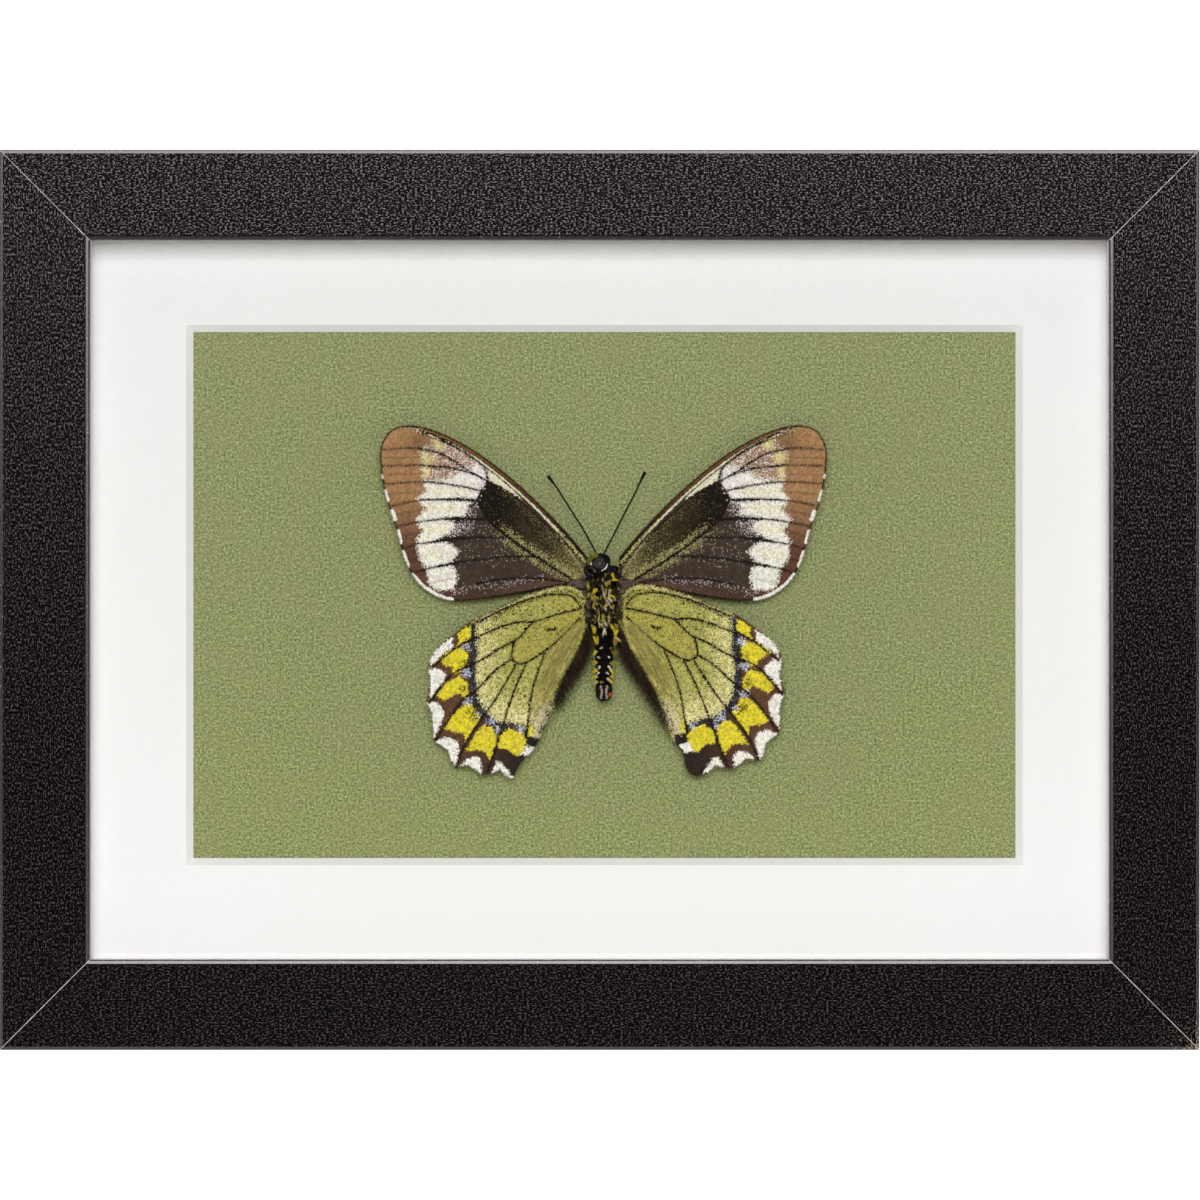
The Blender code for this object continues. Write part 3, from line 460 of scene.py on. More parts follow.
def forewing_colours(points, outline, seed):
    """The underside of a forewing: dark base and cell, white band, brown tip, veins and edges."""
    across, up = points.T
    scales = Scales(points, seed, (64, 53, 44))
    from_root = np.hypot(across - 3, up - 5)
    scales.paint(0.5 * (soft_noise(points, 0.9, seed + 3) > 0.5), (72, 60, 51))

    # The cell, with its streaks and the olive dust near the root
    cell = FOREWING_CELL_TOP + FOREWING_CELL_END + FOREWING_CELL_FOOT
    in_cell = inside(points, cell)
    upper = from_path(points, FOREWING_CELL_TOP)
    lower = from_path(points, FOREWING_CELL_FOOT)
    scales.area(cell, 0.4, blended((21 - across) / 6, (28, 22, 13), (55, 47, 29)))
    along = np.column_stack([(0.72 * across + 0.69 * up) / 6, 0.69 * across - 0.72 * up])
    scales.tone(in_cell * soft_noise(along, 0.45, seed + 4), 0.6)
    scales.paint(0.04 * in_cell, (96, 84, 58))
    speckled = 0.55 * rising(15 - from_root, 12)
    speckled += 0.16 * peak(upper, 1.4) * (from_root < 24)
    scales.paint(0.85 * speckled * in_cell, (122, 114, 72))
    scales.paint(0.25 * rising(9 - from_root, 6), (150, 140, 84))
    dust = peak(lower - 0.8, 0.75) * rising(22 - from_root, 4.5)
    scales.paint(dust * np.where(in_cell, 0.5, 0.42), (170, 163, 108))
    second = from_path(points, FOREWING_VEINS[10])
    scales.paint(0.3 * peak(second - 0.5, 0.5) * rising(20 - across, 8) * ~in_cell, (158, 150, 104))
    sparse = (across > 19) & (across < 29) & (up < 15) & (up > 6.5) & ~in_cell
    scales.paint(0.035 * sparse, (190, 180, 168))

    # The white band and the brown tip
    scales.area(SPECKLED_WHITE, 1.8, (208, 200, 200), most=0.34)
    scales.area(SUBCOSTAL_WHITE, 0.4, (230, 222, 194))
    white = blended((across - 25) / 7, (236, 228, 222), (243, 237, 224))
    scales.area(WHITE_AREA, 0.9, white)
    for streak in CREAM_STREAKS:
        scales.line(streak, 0.9, (238, 230, 180), most=0.45)
    scales.area(BROWN_OVER_WHITE, 1.6, (158, 122, 96), most=0.76)
    for spot in YELLOW_SPOTS:
        scales.area(spot, 1.0, (222, 207, 150), most=0.9)
    brown = blended((21 - up) / 5, (168, 128, 89), (138, 102, 74))
    low = rising(15 - up, 5)[:, None]
    scales.area(BROWN_AREA, 0.9, brown * (1 - low) + colour(98, 66, 51) * low)
    scales.tone(np.exp(-((across - 36.8) / 2.4) ** 2 - ((up - 31.6) / 1.9) ** 2), 0.62)

    # The hind margin, and painted shade along folds and beside veins
    hind = distance(points, [(33.0, 0.4), (25.6, 0.2), (15.6, 1.8), (8.6, 3.2)])
    streak = soft(1.5 - hind, 1.2) * (across < 32)
    scales.paint(0.85 * streak, blended((across - 12) / 14, (94, 71, 58), (76, 53, 47)))
    scales.line(SPECKLE_LINE, 0.75, (206, 190, 182), most=0.15)
    for fold in FOREWING_FOLD_SHADE_LINES:
        scales.tone(peak(distance(points, fold), 0.22), 0.68)
    for vein in FOREWING_VEINS[3:]:
        scales.tone(peak(from_path(points, vein), 0.42), 0.72)

    # The front margin's stripes, from the inside outwards
    costa = distance(points, smooth_path(FOREWING_EDGE[0], 4)[:26])
    fading = rising(39 - across, 5)
    rootward = rising(12 - across, 6)
    scales.paint(soft(1.45 - costa, 0.2) * fading, (52, 42, 30))
    cream = blended(rootward, (220, 211, 178), (196, 184, 112))
    scales.paint(soft(1.22 - costa, 0.15) * fading * (0.55 + 0.45 * (across > 9)), cream)
    scales.paint(soft(0.8 - 0.25 * rootward - costa, 0.12) * fading, (36, 25, 16))
    scales.paint(soft(0.6 - costa, 0.12) * fading * (1 - rootward),
                 blended((across - 10) / 22, (74, 46, 28), (134, 94, 54)))
    scales.paint(soft(0.2 + 0.15 * rootward - costa, 0.12), (22, 15, 10))

    # The veins and the fringe
    light_root = peak(upper, 0.2) * rising(10 - across, 3)
    for vein in FOREWING_VEINS:
        share = peak(from_path(points, vein), 0.19) * np.where(across > 36.5, 0.6, 1.0)
        scales.paint(share, (30, 22, 16))
    scales.line(smooth_path(FOREWING_CELL_FOOT, 3), 0.22, (20, 15, 10))
    scales.paint(light_root, (164, 154, 116))
    for wedge, width in DARK_WEDGES:
        scales.line(wedge, width, (30, 24, 20))
    edge = distance(points, outline, closed=True)
    scales.paint(soft(0.16 - edge, 0.16), (46, 30, 22))
    for dash in FRINGE_DASHES:
        scales.paint(soft(0.42 - distance(points, dash), 0.12), (246, 241, 230))
    return scales.varied(0.16, 0.5)


def hindwing_colours(points, outline, seed):
    """The underside of a hindwing: olive, with a dark margin of yellow, white and blue marks."""
    across, up = points.T
    scales = Scales(points, seed, (175, 171, 92))
    band = from_path(points, BAND)
    pale = rising(7 - band, 6) * 0.8 + rising(-(up + 14), 14) * 0.35
    scales.paint(pale, (226, 216, 154))
    scales.area(HINDWING_CELL, 0.6, (173, 164, 80), most=0.85)
    near_root = np.hypot(across - 3, up + 2)
    scales.paint(0.4 * rising(9 - near_root, 6), (184, 172, 74))

    # The silky inner part, the specks and the front margin
    along = np.column_stack([(0.45 * across - 0.89 * up) / 9, 0.89 * across + 0.45 * up])
    inner = depth_inside(points, SILKY_AREA)
    silk = soft_noise(along, 0.3, seed + 11)
    scales.tone(soft(inner, 1.5) * (silk < 0.42), 0.62)
    scales.paint(soft(inner, 1.5) * (silk > 0.62), (196, 184, 106))
    specks = soft_noise(points, 0.21, seed + 9)
    limit = np.where(up > -7, 0.84, 0.87) - 0.05 * peak(across - 20, 7) * (up > -7)
    scales.paint(specks > limit, (34, 28, 14))
    scales.paint(0.04, (40, 34, 18))
    front = distance(points, smooth_path(HINDWING_EDGE[0], 4)[6:33])
    scales.paint(0.45 * soft(1.3 - front, 0.4) * (across < 27), (58, 50, 30))
    scales.paint(0.6 * soft(0.7 - front, 0.3) * (across < 27), (204, 195, 126))

    # The dark outer part and its marks
    scales.area(OUTER_AREA, 0.7, blended((across - 18) / 11, (48, 37, 33), (96, 66, 48)))
    scales.paint(peak(band, 0.72, 4), (40, 37, 38))
    scales.paint(0.10 * peak(band, 0.7), (118, 118, 138))
    scales.paint(0.3 * peak(band - 1.0, 0.4), (52, 46, 36))
    for lunule in YELLOW_LUNULES:
        scales.area(lunule, 0.4, blended(soft_noise(points, 1.5, seed + 5), (226, 209, 46), (219, 202, 62)))
    for mark in WHITE_MARKS:
        scales.area(mark, 0.45, (246, 240, 229))
    for spot in SPECKLED_YELLOW:
        scales.spot(*spot, (48, 38, 18), most=0.5)
    for cluster in BLUE_CLUSTERS:
        scales.spot(*cluster, (204, 207, 224), most=0.55)
    scales.area(TAIL_GREY, 1.0, (196, 184, 160), most=0.5)
    scales.area(TAIL_DARK, 0.5, (40, 33, 30))

    # The inner margin's fold, the veins with painted shade beside them, and the edge
    fold = distance(points, smooth_path(HINDWING_INNER_EDGE["left"], 4)[12:])
    scales.paint(0.8 * soft(0.9 - fold, 0.9) * (up > -19), (62, 50, 36))
    patches = soft_noise(points, 0.5, seed + 12) > 0.45
    scales.paint(0.55 * soft(1.0 - fold, 0.6) * (up < -17) * patches, (66, 54, 48))
    for index, vein in enumerate(HINDWING_VEINS):
        away = from_path(points, vein)
        # Painted shade beside the vein, then the vein's own colour
        scales.tone(peak(away, 0.45), 0.78)
        share = peak(away, 0.2 if index < 2 else 0.22)
        scales.paint(share, np.where(band[:, None] < 3.5, colour(34, 25, 16), colour(22, 18, 10)))
    scales.line([(9.5, -5.6), (10.4, -6.0), (11.3, -6.0)], 0.3, (30, 25, 12))
    edge = distance(points, outline, closed=True)
    scales.paint(0.5 * soft(0.12 - edge, 0.12) * (up > -9), (70, 52, 34))
    return scales.varied(0.15, 0.6)


def wing_loop(stretches):
    """The smooth closed outline, in seen millimetres."""
    loop = []
    for stretch in stretches:
        loop += smooth_path(stretch, 6)[:-1].tolist()
    last = stretches[-1][-1]
    if math.dist(last, loop[0]) > 0.3:
        loop.append(last)
    return np.array(loop)


def turned_about(points, root, angle):
    """Points turned about a root, in the plane."""
    cosine, sine = math.cos(angle), math.sin(angle)
    offset = points - root
    return root + np.column_stack([offset[:, 0] * cosine - offset[:, 1] * sine,
                                   offset[:, 0] * sine + offset[:, 1] * cosine])


class Wing:
    """One wing: its outline, its side and how its flat points lie in the frame."""

    def __init__(self, stretches, side, turn, depth):
        self.stretches = stretches
        self.side = side
        self.turn = turn
        self.depth = depth
        self.outline = evenly(wing_loop(stretches), SCALE_PITCH)

    def placed(self, points, *lifts):
        """Flat points as places in the frame, lifted off the wing's middle layer, in millimetres."""
        real = turned_about(points, np.array(self.stretches[0][0]), self.turn) * SEEN_TO_REAL
        depth = self.depth(real)
        for lift in lifts:
            depth = depth - lift
        return np.column_stack([BODY_X + self.side * real[:, 0] * MM, FRAME_LOW.y + depth * MM,
                                BODY_Z + real[:, 1] * MM])


def forewing_depth(real):
    return FOREWING_LAYER - FOREWING_LIFT * (real[:, 0] / FOREWING_REACH) ** 2


def hindwing_depth(real):
    return HINDWING_LAYER + HINDWING_DROP * (real[:, 0] / HINDWING_REACH) ** 2


def fringe(outline, seed):
    """Short flat scales that stand out from a wing's margin: roots, outward ways and lengths."""
    random = np.random.default_rng(seed)
    places = evenly(outline, FRINGE_PITCH)
    ahead = np.roll(places, -1, axis=0) - np.roll(places, 1, axis=0)
    ahead /= np.linalg.norm(ahead, axis=1)[:, None]
    outward = np.column_stack([ahead[:, 1], -ahead[:, 0]])
    probe = places + outward * 0.2
    outward[inside(probe, outline)] *= -1
    outward += random.normal(0, 0.25, outward.shape)
    return places, outward, random.uniform(0.18, 0.42, len(places))


def build_wing(name, node, wing, veins, painter, material, seed):
    """A closed wing: dense painted front, coarse plain back and a rim between them."""
    outline = wing.outline
    front, front_faces = filled(outline, SCALE_PITCH, seed)
    back, back_faces = filled(outline, BACK_PITCH, seed + 1)
    vein_gap = np.full(len(front), np.inf)
    for vein in veins:
        vein_gap = np.minimum(vein_gap, from_path(front, vein))
    edge = distance(front, outline, closed=True)
    relief = VEIN_RISE * peak(vein_gap, VEIN_WIDTH) - PLEAT * np.minimum(vein_gap / PLEAT_REACH, 1) ** 1.5
    relief += WAVE * (soft_noise(front, WAVE_SIZE, seed + 7) - 0.5)
    relief += SCALE_TILT * np.random.default_rng(seed + 8).standard_normal(len(front))
    relief *= rising(edge, FLAT_EDGE)
    points = np.vstack([wing.placed(front, WING_THICKNESS / 2, relief),
                        wing.placed(back, -WING_THICKNESS / 2)])
    ring = np.arange(len(outline))
    after = (ring + 1) % len(outline)
    shift = len(front)
    rim = np.column_stack([after, ring, ring + shift, after + shift])
    area = (outline[:, 0] * np.roll(outline[:, 1], -1) - outline[:, 1] * np.roll(outline[:, 0], -1)).sum()
    if area < 0:
        rim = rim[:, ::-1]
    faces = [front_faces, back_faces[:, ::-1] + shift]
    if wing.side < 0:
        faces = [part[:, ::-1] for part in faces]
        rim = rim[:, ::-1]
    faces = faces[0].tolist() + faces[1].tolist() + rim.tolist()
    colours = painter(front, outline, seed + 20)
    back_colours = np.tile(colour(*BACK_SHADE), (len(back), 1))
    piece = mesh_piece(name, points, faces, material, np.vstack([colours, back_colours]))
    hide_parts(node)
    return colours


def build_fringe(name, wing, colours, material, seed):
    """The scales along a wing's margin, each in the colour of the front beside it."""
    places, outward, lengths = fringe(wing.outline, seed)
    roots = wing.placed(places, FRINGE_LIFT)
    ways = wing.placed(places + outward * lengths[:, None], FRINGE_LIFT) - roots
    reach = np.linalg.norm(ways, axis=1)
    count = len(wing.outline)
    shades = colours[:count][np.round(np.linspace(0, count - 1, len(places))).astype(int)]
    piece = hairs(name, roots, ways / reach[:, None], reach, FRINGE_WIDTH * MM, shades, material, steps=1)


def hairs(name, roots, ways, lengths, width, shades, material, bends=None, steps=3):
    """Closed three-sided hairs that taper from their roots to their tips, all in one mesh."""
    count = len(roots)
    bends = np.zeros((count, 3)) if bends is None else bends
    across = np.cross(ways, [0.0, 1.0, 0.0])
    across /= np.maximum(np.linalg.norm(across, axis=1), 1e-6)[:, None]
    beside = np.cross(ways, across)
    rings = []
    for step in range(steps):
        share = step / steps
        middle = roots + (ways * share + bends * share ** 2) * lengths[:, None]
        radius = width * (1 - share ** 1.5)
        for corner in range(3):
            angle = 2 * math.pi * corner / 3
            rings.append(middle + (across * math.cos(angle) + beside * math.sin(angle)) * radius)
    rings.append(roots + (ways + bends) * lengths[:, None])
    per = 3 * steps + 1
    points = np.stack(rings, axis=1).reshape(-1, 3)
    pattern = [(0, 2, 1)]
    for step in range(steps - 1):
        for corner in range(3):
            one, two = 3 * step + corner, 3 * step + (corner + 1) % 3
            pattern += [(one, two, two + 3), (one, two + 3, one + 3)]
    for corner in range(3):
        pattern.append((3 * steps - 3 + corner, 3 * steps - 3 + (corner + 1) % 3, per - 1))
    faces = (np.arange(count)[:, None, None] * per + np.array(pattern)[None]).reshape(-1, 3)
    colours = np.repeat(shades, per, axis=0)
    return mesh_piece(name, points, faces.tolist(), material, colours, smooth=False)


WORN_CORNER = (1000 * FRAME_HIGH.x, 1000 * FRAME_LOW.y, 1000 * FRAME_LOW.z)
WORN_REACH = 14.0
WORN_MOST = 0.14
TAN = (158, 138, 108)


class Nodes:
    """A material's nodes, added and linked in a few words."""

    def __init__(self, name, shade=(0.5, 0.5, 0.5), **settings):
        self.material = bpy.data.materials.new(name)
        self.material.use_nodes = True
        self.tree = self.material.node_tree
        self.shader = self.tree.nodes["Principled BSDF"]
        self.shader.inputs["Base Color"].default_value = (*shade, 1)
        for key, value in settings.items():
            self.shader.inputs[key.replace("_", " ")].default_value = value

    def add(self, kind, **inputs):
        node = self.tree.nodes.new("ShaderNode" + kind)
        for key, value in inputs.items():
            socket = node.inputs[key.replace("_", " ")]
            if isinstance(value, bpy.types.NodeSocket):
                self.tree.links.new(value, socket)
            else:
                socket.default_value = value
        return node

    def places(self, scale=(1, 1, 1)):
        """Places on the object in millimetres, stretched by a scale."""
        where = self.add("TexCoord").outputs["Object"]
        return self.add("Mapping", Vector=where, Scale=tuple(1000 * one for one in scale)).outputs["Vector"]

    def noise(self, where, scale, detail=3.0, roughness=0.6):
        node = self.add("TexNoise", Vector=where, Scale=scale, Detail=detail, Roughness=roughness)
        return node.outputs["Fac"]

    def ramp(self, factor, *stops):
        node = self.add("ValToRGB", Fac=factor)
        while len(node.color_ramp.elements) < len(stops):
            node.color_ramp.elements.new(0.5)
        for element, (place, shade) in zip(node.color_ramp.elements, stops):
            element.position = place
            element.color = (*shade, 1)
        return node.outputs["Color"]

    def mix(self, factor, first, second, blend="MIX"):
        node = self.tree.nodes.new("ShaderNodeMix")
        node.data_type = "RGBA"
        node.blend_type = blend
        for socket, value in ((node.inputs[0], factor), (node.inputs[6], first), (node.inputs[7], second)):
            if isinstance(value, bpy.types.NodeSocket):
                self.tree.links.new(value, socket)
            else:
                socket.default_value = value if isinstance(value, float) else (*value, 1)
        return node.outputs[2]

    def between(self, factor, dark, pale, low=0.3, high=0.7):
        """A blend of two display colours between two values of the factor."""
        return self.ramp(factor, (low, colour(*dark)), (high, colour(*pale)))

    def mask(self, factor, low, high, most=1.0):
        """A grey that is black up to one value of the factor and at its palest from another."""
        return self.ramp(factor, (low, (0, 0, 0)), (high, (most,) * 3))

    def worn(self, shade, threshold):
        """Tan specks where the foil is rubbed off, more of them towards the worn corner."""
        apart = self.add("VectorMath", Vector=self.places())
        apart.operation = "DISTANCE"
        apart.inputs[1].default_value = WORN_CORNER
        nearness = self.add("MapRange", Value=apart.outputs["Value"], From_Min=0.0, From_Max=WORN_REACH,
                            To_Min=WORN_MOST, To_Max=0.0).outputs["Result"]
        specks = self.add("Math")
        self.tree.links.new(self.noise(self.places(), 2.2, 3.0), specks.inputs[0])
        self.tree.links.new(nearness, specks.inputs[1])
        return self.mix(self.mask(specks.outputs[0], threshold, threshold + 0.03, 0.8), shade, colour(*TAN))

    def bump(self, height, strength, depth):
        node = self.add("Bump", Height=height, Strength=strength, Distance=depth)
        self.tree.links.new(node.outputs["Normal"], self.shader.inputs["Normal"])

    def base(self, shade):
        self.tree.links.new(shade, self.shader.inputs["Base Color"])

    def driven(self, name, factor, low, high):
        """Lets a factor drive one of the shader's values between two limits."""
        spread = self.add("MapRange", Value=factor, To_Min=low, To_Max=high)
        self.tree.links.new(spread.outputs["Result"], self.shader.inputs[name])


def scale_material(name, roughness):
    """Scales or hairs in their painted colours, each with a fine grain."""
    made = Nodes(name, Roughness=roughness, Specular_IOR_Level=0.12)
    painted = made.add("Attribute")
    painted.attribute_name = "scales"
    fine = made.places()
    grain = made.noise(fine, 9.0, 2.0)
    shade = made.ramp(grain, (0.25, (0.93, 0.93, 0.93)), (0.75, (1.13, 1.13, 1.13)))
    made.base(made.mix(1.0, painted.outputs["Color"], shade, "MULTIPLY"))
    made.bump(made.noise(fine, 6.0, 2.0), 0.35, 0.00005)
    return made.material


def foil_material(name, along_x):
    """Dark foil whose embossed grain shows as glossy flecks that run along its rail, and sparse dust."""
    made = Nodes(name, Roughness=0.3, Specular_Tint=(1.0, 0.86, 0.93, 1.0))
    where = made.places((0.6, 1, 1.0) if along_x else (1.0, 1, 0.6))
    flecks = made.mask(made.noise(where, 3.2, 2.0, 0.6), 0.54, 0.6)
    tint = made.between(made.noise(made.places(), 0.5, 2.0), (14, 9, 13), (11, 9, 10), 0.4, 0.6)
    foil = made.mix(flecks, colour(4, 3, 4), tint)
    dust = made.mask(made.noise(made.places(), 2.6, 1.0), 0.79, 0.81, 0.8)
    made.base(made.worn(made.mix(dust, foil, colour(170, 160, 156)), 0.71))
    made.driven("Specular IOR Level", flecks, 0.02, 0.72)
    return made.material


def edge_material():
    """Smooth foil over the narrow bands along the rail's edges, with small worn tan specks."""
    made = Nodes("foil_edge", Roughness=0.26, Specular_IOR_Level=0.9, Specular_Tint=(1.0, 0.92, 0.95, 1.0))
    wear = made.noise(made.places(), 1.3, 4.0, 0.7)
    made.base(made.worn(made.between(wear, (26, 21, 23), (140, 118, 92), 0.66, 0.74), 0.66))
    return made.material


def raw_edge_material():
    """The pale sawn board that shows along a mitre."""
    made = Nodes("sawn_edge", Roughness=0.8)
    made.base(made.between(made.noise(made.places(), 0.5, 4.0), (150, 138, 136), (236, 226, 222)))
    return made.material


def board_material():
    """Brown fibre board on the rails' backs and in the rebate."""
    made = Nodes("fibre_board", Roughness=0.85)
    grain = made.noise(made.places(), 2.5, 5.0)
    made.base(made.between(grain, (122, 92, 62), (172, 138, 100)))
    made.bump(grain, 0.4, 0.0002)
    return made.material


def glass_material():
    """Thin clear glass: what is behind shows straight through, and the rest mirrors."""
    made = Nodes("clear_pane", (1, 1, 1), Roughness=0.0, Metallic=1.0)
    mirrored = made.add("Fresnel", IOR=1.45)
    through = made.add("BsdfTransparent")
    mixed = made.add("MixShader", Fac=mirrored.outputs["Fac"])
    made.tree.links.new(through.outputs[0], mixed.inputs[1])
    made.tree.links.new(made.shader.outputs[0], mixed.inputs[2])
    made.tree.links.new(mixed.outputs[0], made.tree.nodes["Material Output"].inputs["Surface"])
    return made.material


def paper_material(name, pale, dark, tooth):
    """White board with a faint tooth."""
    made = Nodes(name, Roughness=0.85, Specular_IOR_Level=0.2)
    where = made.places()
    made.base(made.between(made.noise(where, 1.6, 5.0), dark, pale))
    made.bump(made.noise(where, 4.0, 3.0), tooth, 0.00005)
    return made.material


def card_material():
    """Green card with fine pale and dark fibres."""
    made = Nodes("mottled_green_card", Roughness=0.46, Specular_IOR_Level=0.6)
    where = made.places()
    grain = made.noise(where, 2.3, 3.0, 0.7)
    cloud = made.noise(where, 0.12, 2.0)
    flecks = made.noise(where, 2.6, 2.0, 0.5)
    base = made.ramp(grain, (0.34, colour(64, 72, 26)), (0.5, colour(129, 139, 73)),
                     (0.66, colour(188, 196, 121)))
    tinted = made.mix(made.mask(cloud, 0.35, 0.65, 0.3), base, colour(144, 140, 84))
    made.base(made.mix(made.mask(flecks, 0.66, 0.7, 0.7), tinted, colour(206, 206, 152)))
    made.bump(grain, 0.4, 0.00012)
    return made.material


def hardboard_material():
    """Brown hardboard with fibres and faint clouds."""
    made = Nodes("brown_hardboard", Roughness=0.6)
    where = made.places()
    fibres = made.noise(where, 1.2, 8.0, 0.7)
    cloud = made.noise(where, 0.06, 3.0)
    base = made.between(fibres, (92, 62, 40), (148, 108, 74))
    made.base(made.mix(0.5, base, made.ramp(cloud, (0.3, (0.75, 0.75, 0.75)), (0.7, (1, 1, 1))), "MULTIPLY"))
    made.bump(fibres, 0.3, 0.0002)
    return made.material


def steel_material():
    """Plated steel, brushed along its length."""
    made = Nodes("zinc_plated_steel", Metallic=1.0, Roughness=0.35)
    brushed = made.noise(made.places((0.25, 1, 3)), 3.0, 4.0)
    made.base(made.between(made.noise(made.places(), 0.5, 3.0), (168, 164, 152), (206, 204, 196)))
    made.driven("Roughness", brushed, 0.25, 0.5)
    made.bump(brushed, 0.2, 0.00005)
    return made.material


def chitin_material():
    """The black skin of the head, thorax, antennae and legs."""
    made = Nodes("black_chitin", Roughness=0.5, Specular_IOR_Level=0.3)
    grain = made.noise(made.places(), 5.0, 4.0)
    made.base(made.between(grain, (4, 3, 3), (30, 25, 22), 0.4, 0.85))
    made.bump(grain, 0.6, 0.0001)
    return made.material


def eye_material():
    """The glossy compound eye, with its fine facets."""
    made = Nodes("eye", Roughness=0.22, Coat_Weight=0.4, Coat_Roughness=0.1)
    facets = made.add("TexVoronoi", Vector=made.places(), Scale=14.0).outputs["Distance"]
    made.base(made.between(facets, (88, 76, 80), (52, 44, 48), 0.0, 0.6))
    made.bump(facets, 0.15, 0.00005)
    return made.material


def wing_root_material():
    """The brown skin where the wings join the thorax."""
    made = Nodes("wing_root_chitin", Roughness=0.6, Specular_IOR_Level=0.3)
    grain = made.noise(made.places(), 2.5, 4.0)
    made.base(made.between(grain, (38, 28, 22), (128, 108, 92), 0.35, 0.7))
    made.bump(grain, 0.6, 0.0002)
    return made.material


def plain_material(name, roughness, dark, pale):
    """One colour with a fine unevenness."""
    made = Nodes(name, Roughness=roughness)
    made.base(made.between(made.noise(made.places(), 4.0), dark, pale))
    return made.material


FOIL, SAWN, BOARD, EDGE = range(4)


def rail_profile():
    """The rail's section as (inward, depth) points, and the material of the strip after each."""
    depth = FRAME_HIGH.y - FRAME_LOW.y
    band_drop = OUTER_BAND * math.tan(OUTER_SLOPE)
    inner_drop = INNER_BAND * math.tan(INNER_SLOPE)
    inner_start = FACE_WIDTH - INNER_ROUND - INNER_BAND
    points = [(OUTER_ROUND + OUTER_BAND, 0.0), (inner_start - GROOVE, 0.0),
              (inner_start - GROOVE / 2, GROOVE)]
    strips = [FOIL, EDGE, EDGE]
    points += [(inner_start, 0.0), (FACE_WIDTH - INNER_ROUND, inner_drop)]
    strips += [EDGE, EDGE]
    for angle in np.linspace(INNER_ROUND_START, math.pi / 2, INNER_ROUND_POINTS):
        points.append((FACE_WIDTH - INNER_ROUND * (1 - math.sin(angle)),
                       inner_drop + INNER_ROUND * (1 - math.cos(angle))))
        strips.append(EDGE)
    strips[-1] = FOIL
    points += [(FACE_WIDTH, LIP_THICKNESS), (REBATE_WALL, LIP_THICKNESS), (REBATE_WALL, depth),
               (OUTER_ROUND, depth), (0.0, depth - OUTER_ROUND)]
    strips += [BOARD, BOARD, BOARD, FOIL, FOIL]
    for angle in np.linspace(math.pi / 2, 0, OUTER_ROUND_POINTS):
        points.append((OUTER_ROUND * (1 - math.sin(angle)), band_drop + OUTER_ROUND * (1 - math.cos(angle))))
        strips.append(EDGE)
    return np.array(points), strips


def build_rail(name, node, turn, length, middle, materials):
    """One rail, with sawn ends that meet the next rail and a pale line along each mitre."""
    profile, strips = rail_profile()
    rings = []
    for side, back_by in ((-1, 0.0), (-1, MITRE_LINE), (1, MITRE_LINE), (1, 0.0)):
        x = side * (length / 2 - profile[:, 0] - MITRE_GAP - back_by)
        rings.append(np.column_stack([x, FRAME_LOW.y + profile[:, 1], profile[:, 0]]))
    points = np.vstack(rings)
    cosine, sine = math.cos(turn), math.sin(turn)
    turned = np.column_stack([points[:, 0] * cosine + points[:, 2] * sine, points[:, 1],
                              -points[:, 0] * sine + points[:, 2] * cosine]) + middle
    count = len(profile)
    faces = [list(range(count)), [3 * count + index for index in reversed(range(count))]]
    slots = [SAWN, SAWN]
    for ring in range(3):
        for index in range(count):
            after = (index + 1) % count
            faces.append([ring * count + after, ring * count + index,
                          (ring + 1) * count + index, (ring + 1) * count + after])
            slots.append(strips[index] if ring == 1 or strips[index] == BOARD else SAWN)
    piece = mesh_piece(name, turned, faces, materials, smooth=False)
    piece.data.polygons.foreach_set("material_index", slots)
    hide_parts(node)


def build_rails():
    raw, board, edge = raw_edge_material(), board_material(), edge_material()
    foil = {True: foil_material("foil_along_x", True), False: foil_material("foil_along_z", False)}
    width = FRAME_HIGH.x - FRAME_LOW.x
    height = FRAME_HIGH.z - FRAME_LOW.z
    middle = (FRAME_HIGH.z + FRAME_LOW.z) / 2
    sides = {
        "bottom": (0.0, width, (0, 0, FRAME_LOW.z)),
        "left": (math.pi / 2, height, (FRAME_LOW.x, 0, middle)),
        "top": (math.pi, width, (0, 0, FRAME_HIGH.z)),
        "right": (-math.pi / 2, height, (FRAME_HIGH.x, 0, middle)),
    }
    for side, (turn, length, place) in sides.items():
        materials = [foil[length == width], raw, board, edge]
        build_rail("rail_" + side, "frame_rail_" + side, turn, length, np.array(place), materials)


def dress_frame():
    """Better materials for the modelled pieces that stay."""
    steel = steel_material()
    finishes = {
        "glass": glass_material(),
        "mat": paper_material("mat_board", (253, 252, 252), (249, 248, 248), 0.2),
        "mount_card": card_material(),
        "foam_board": paper_material("foam_core", (240, 240, 236), (226, 226, 222), 0.5),
        "back_panel": hardboard_material(),
        "spacer": paper_material("spacer_strip", (242, 240, 240), (228, 226, 226), 0.3),
    }
    finishes.update({"back_tab": steel, "hanger": steel, "specimen_pin": steel})
    for name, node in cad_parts.items():
        for start, material in finishes.items():
            if name.startswith(start):
                node.data.materials.clear()
                node.data.materials.append(material)


def band_faces(rings, count, first=0):
    """Four-sided faces between closed rings of points that follow one another."""
    faces = []
    for start in range(first, first + (rings - 1) * count, count):
        for index in range(count):
            after = (index + 1) % count
            faces.append([start + index, start + after, start + count + after, start + count + index])
    return faces


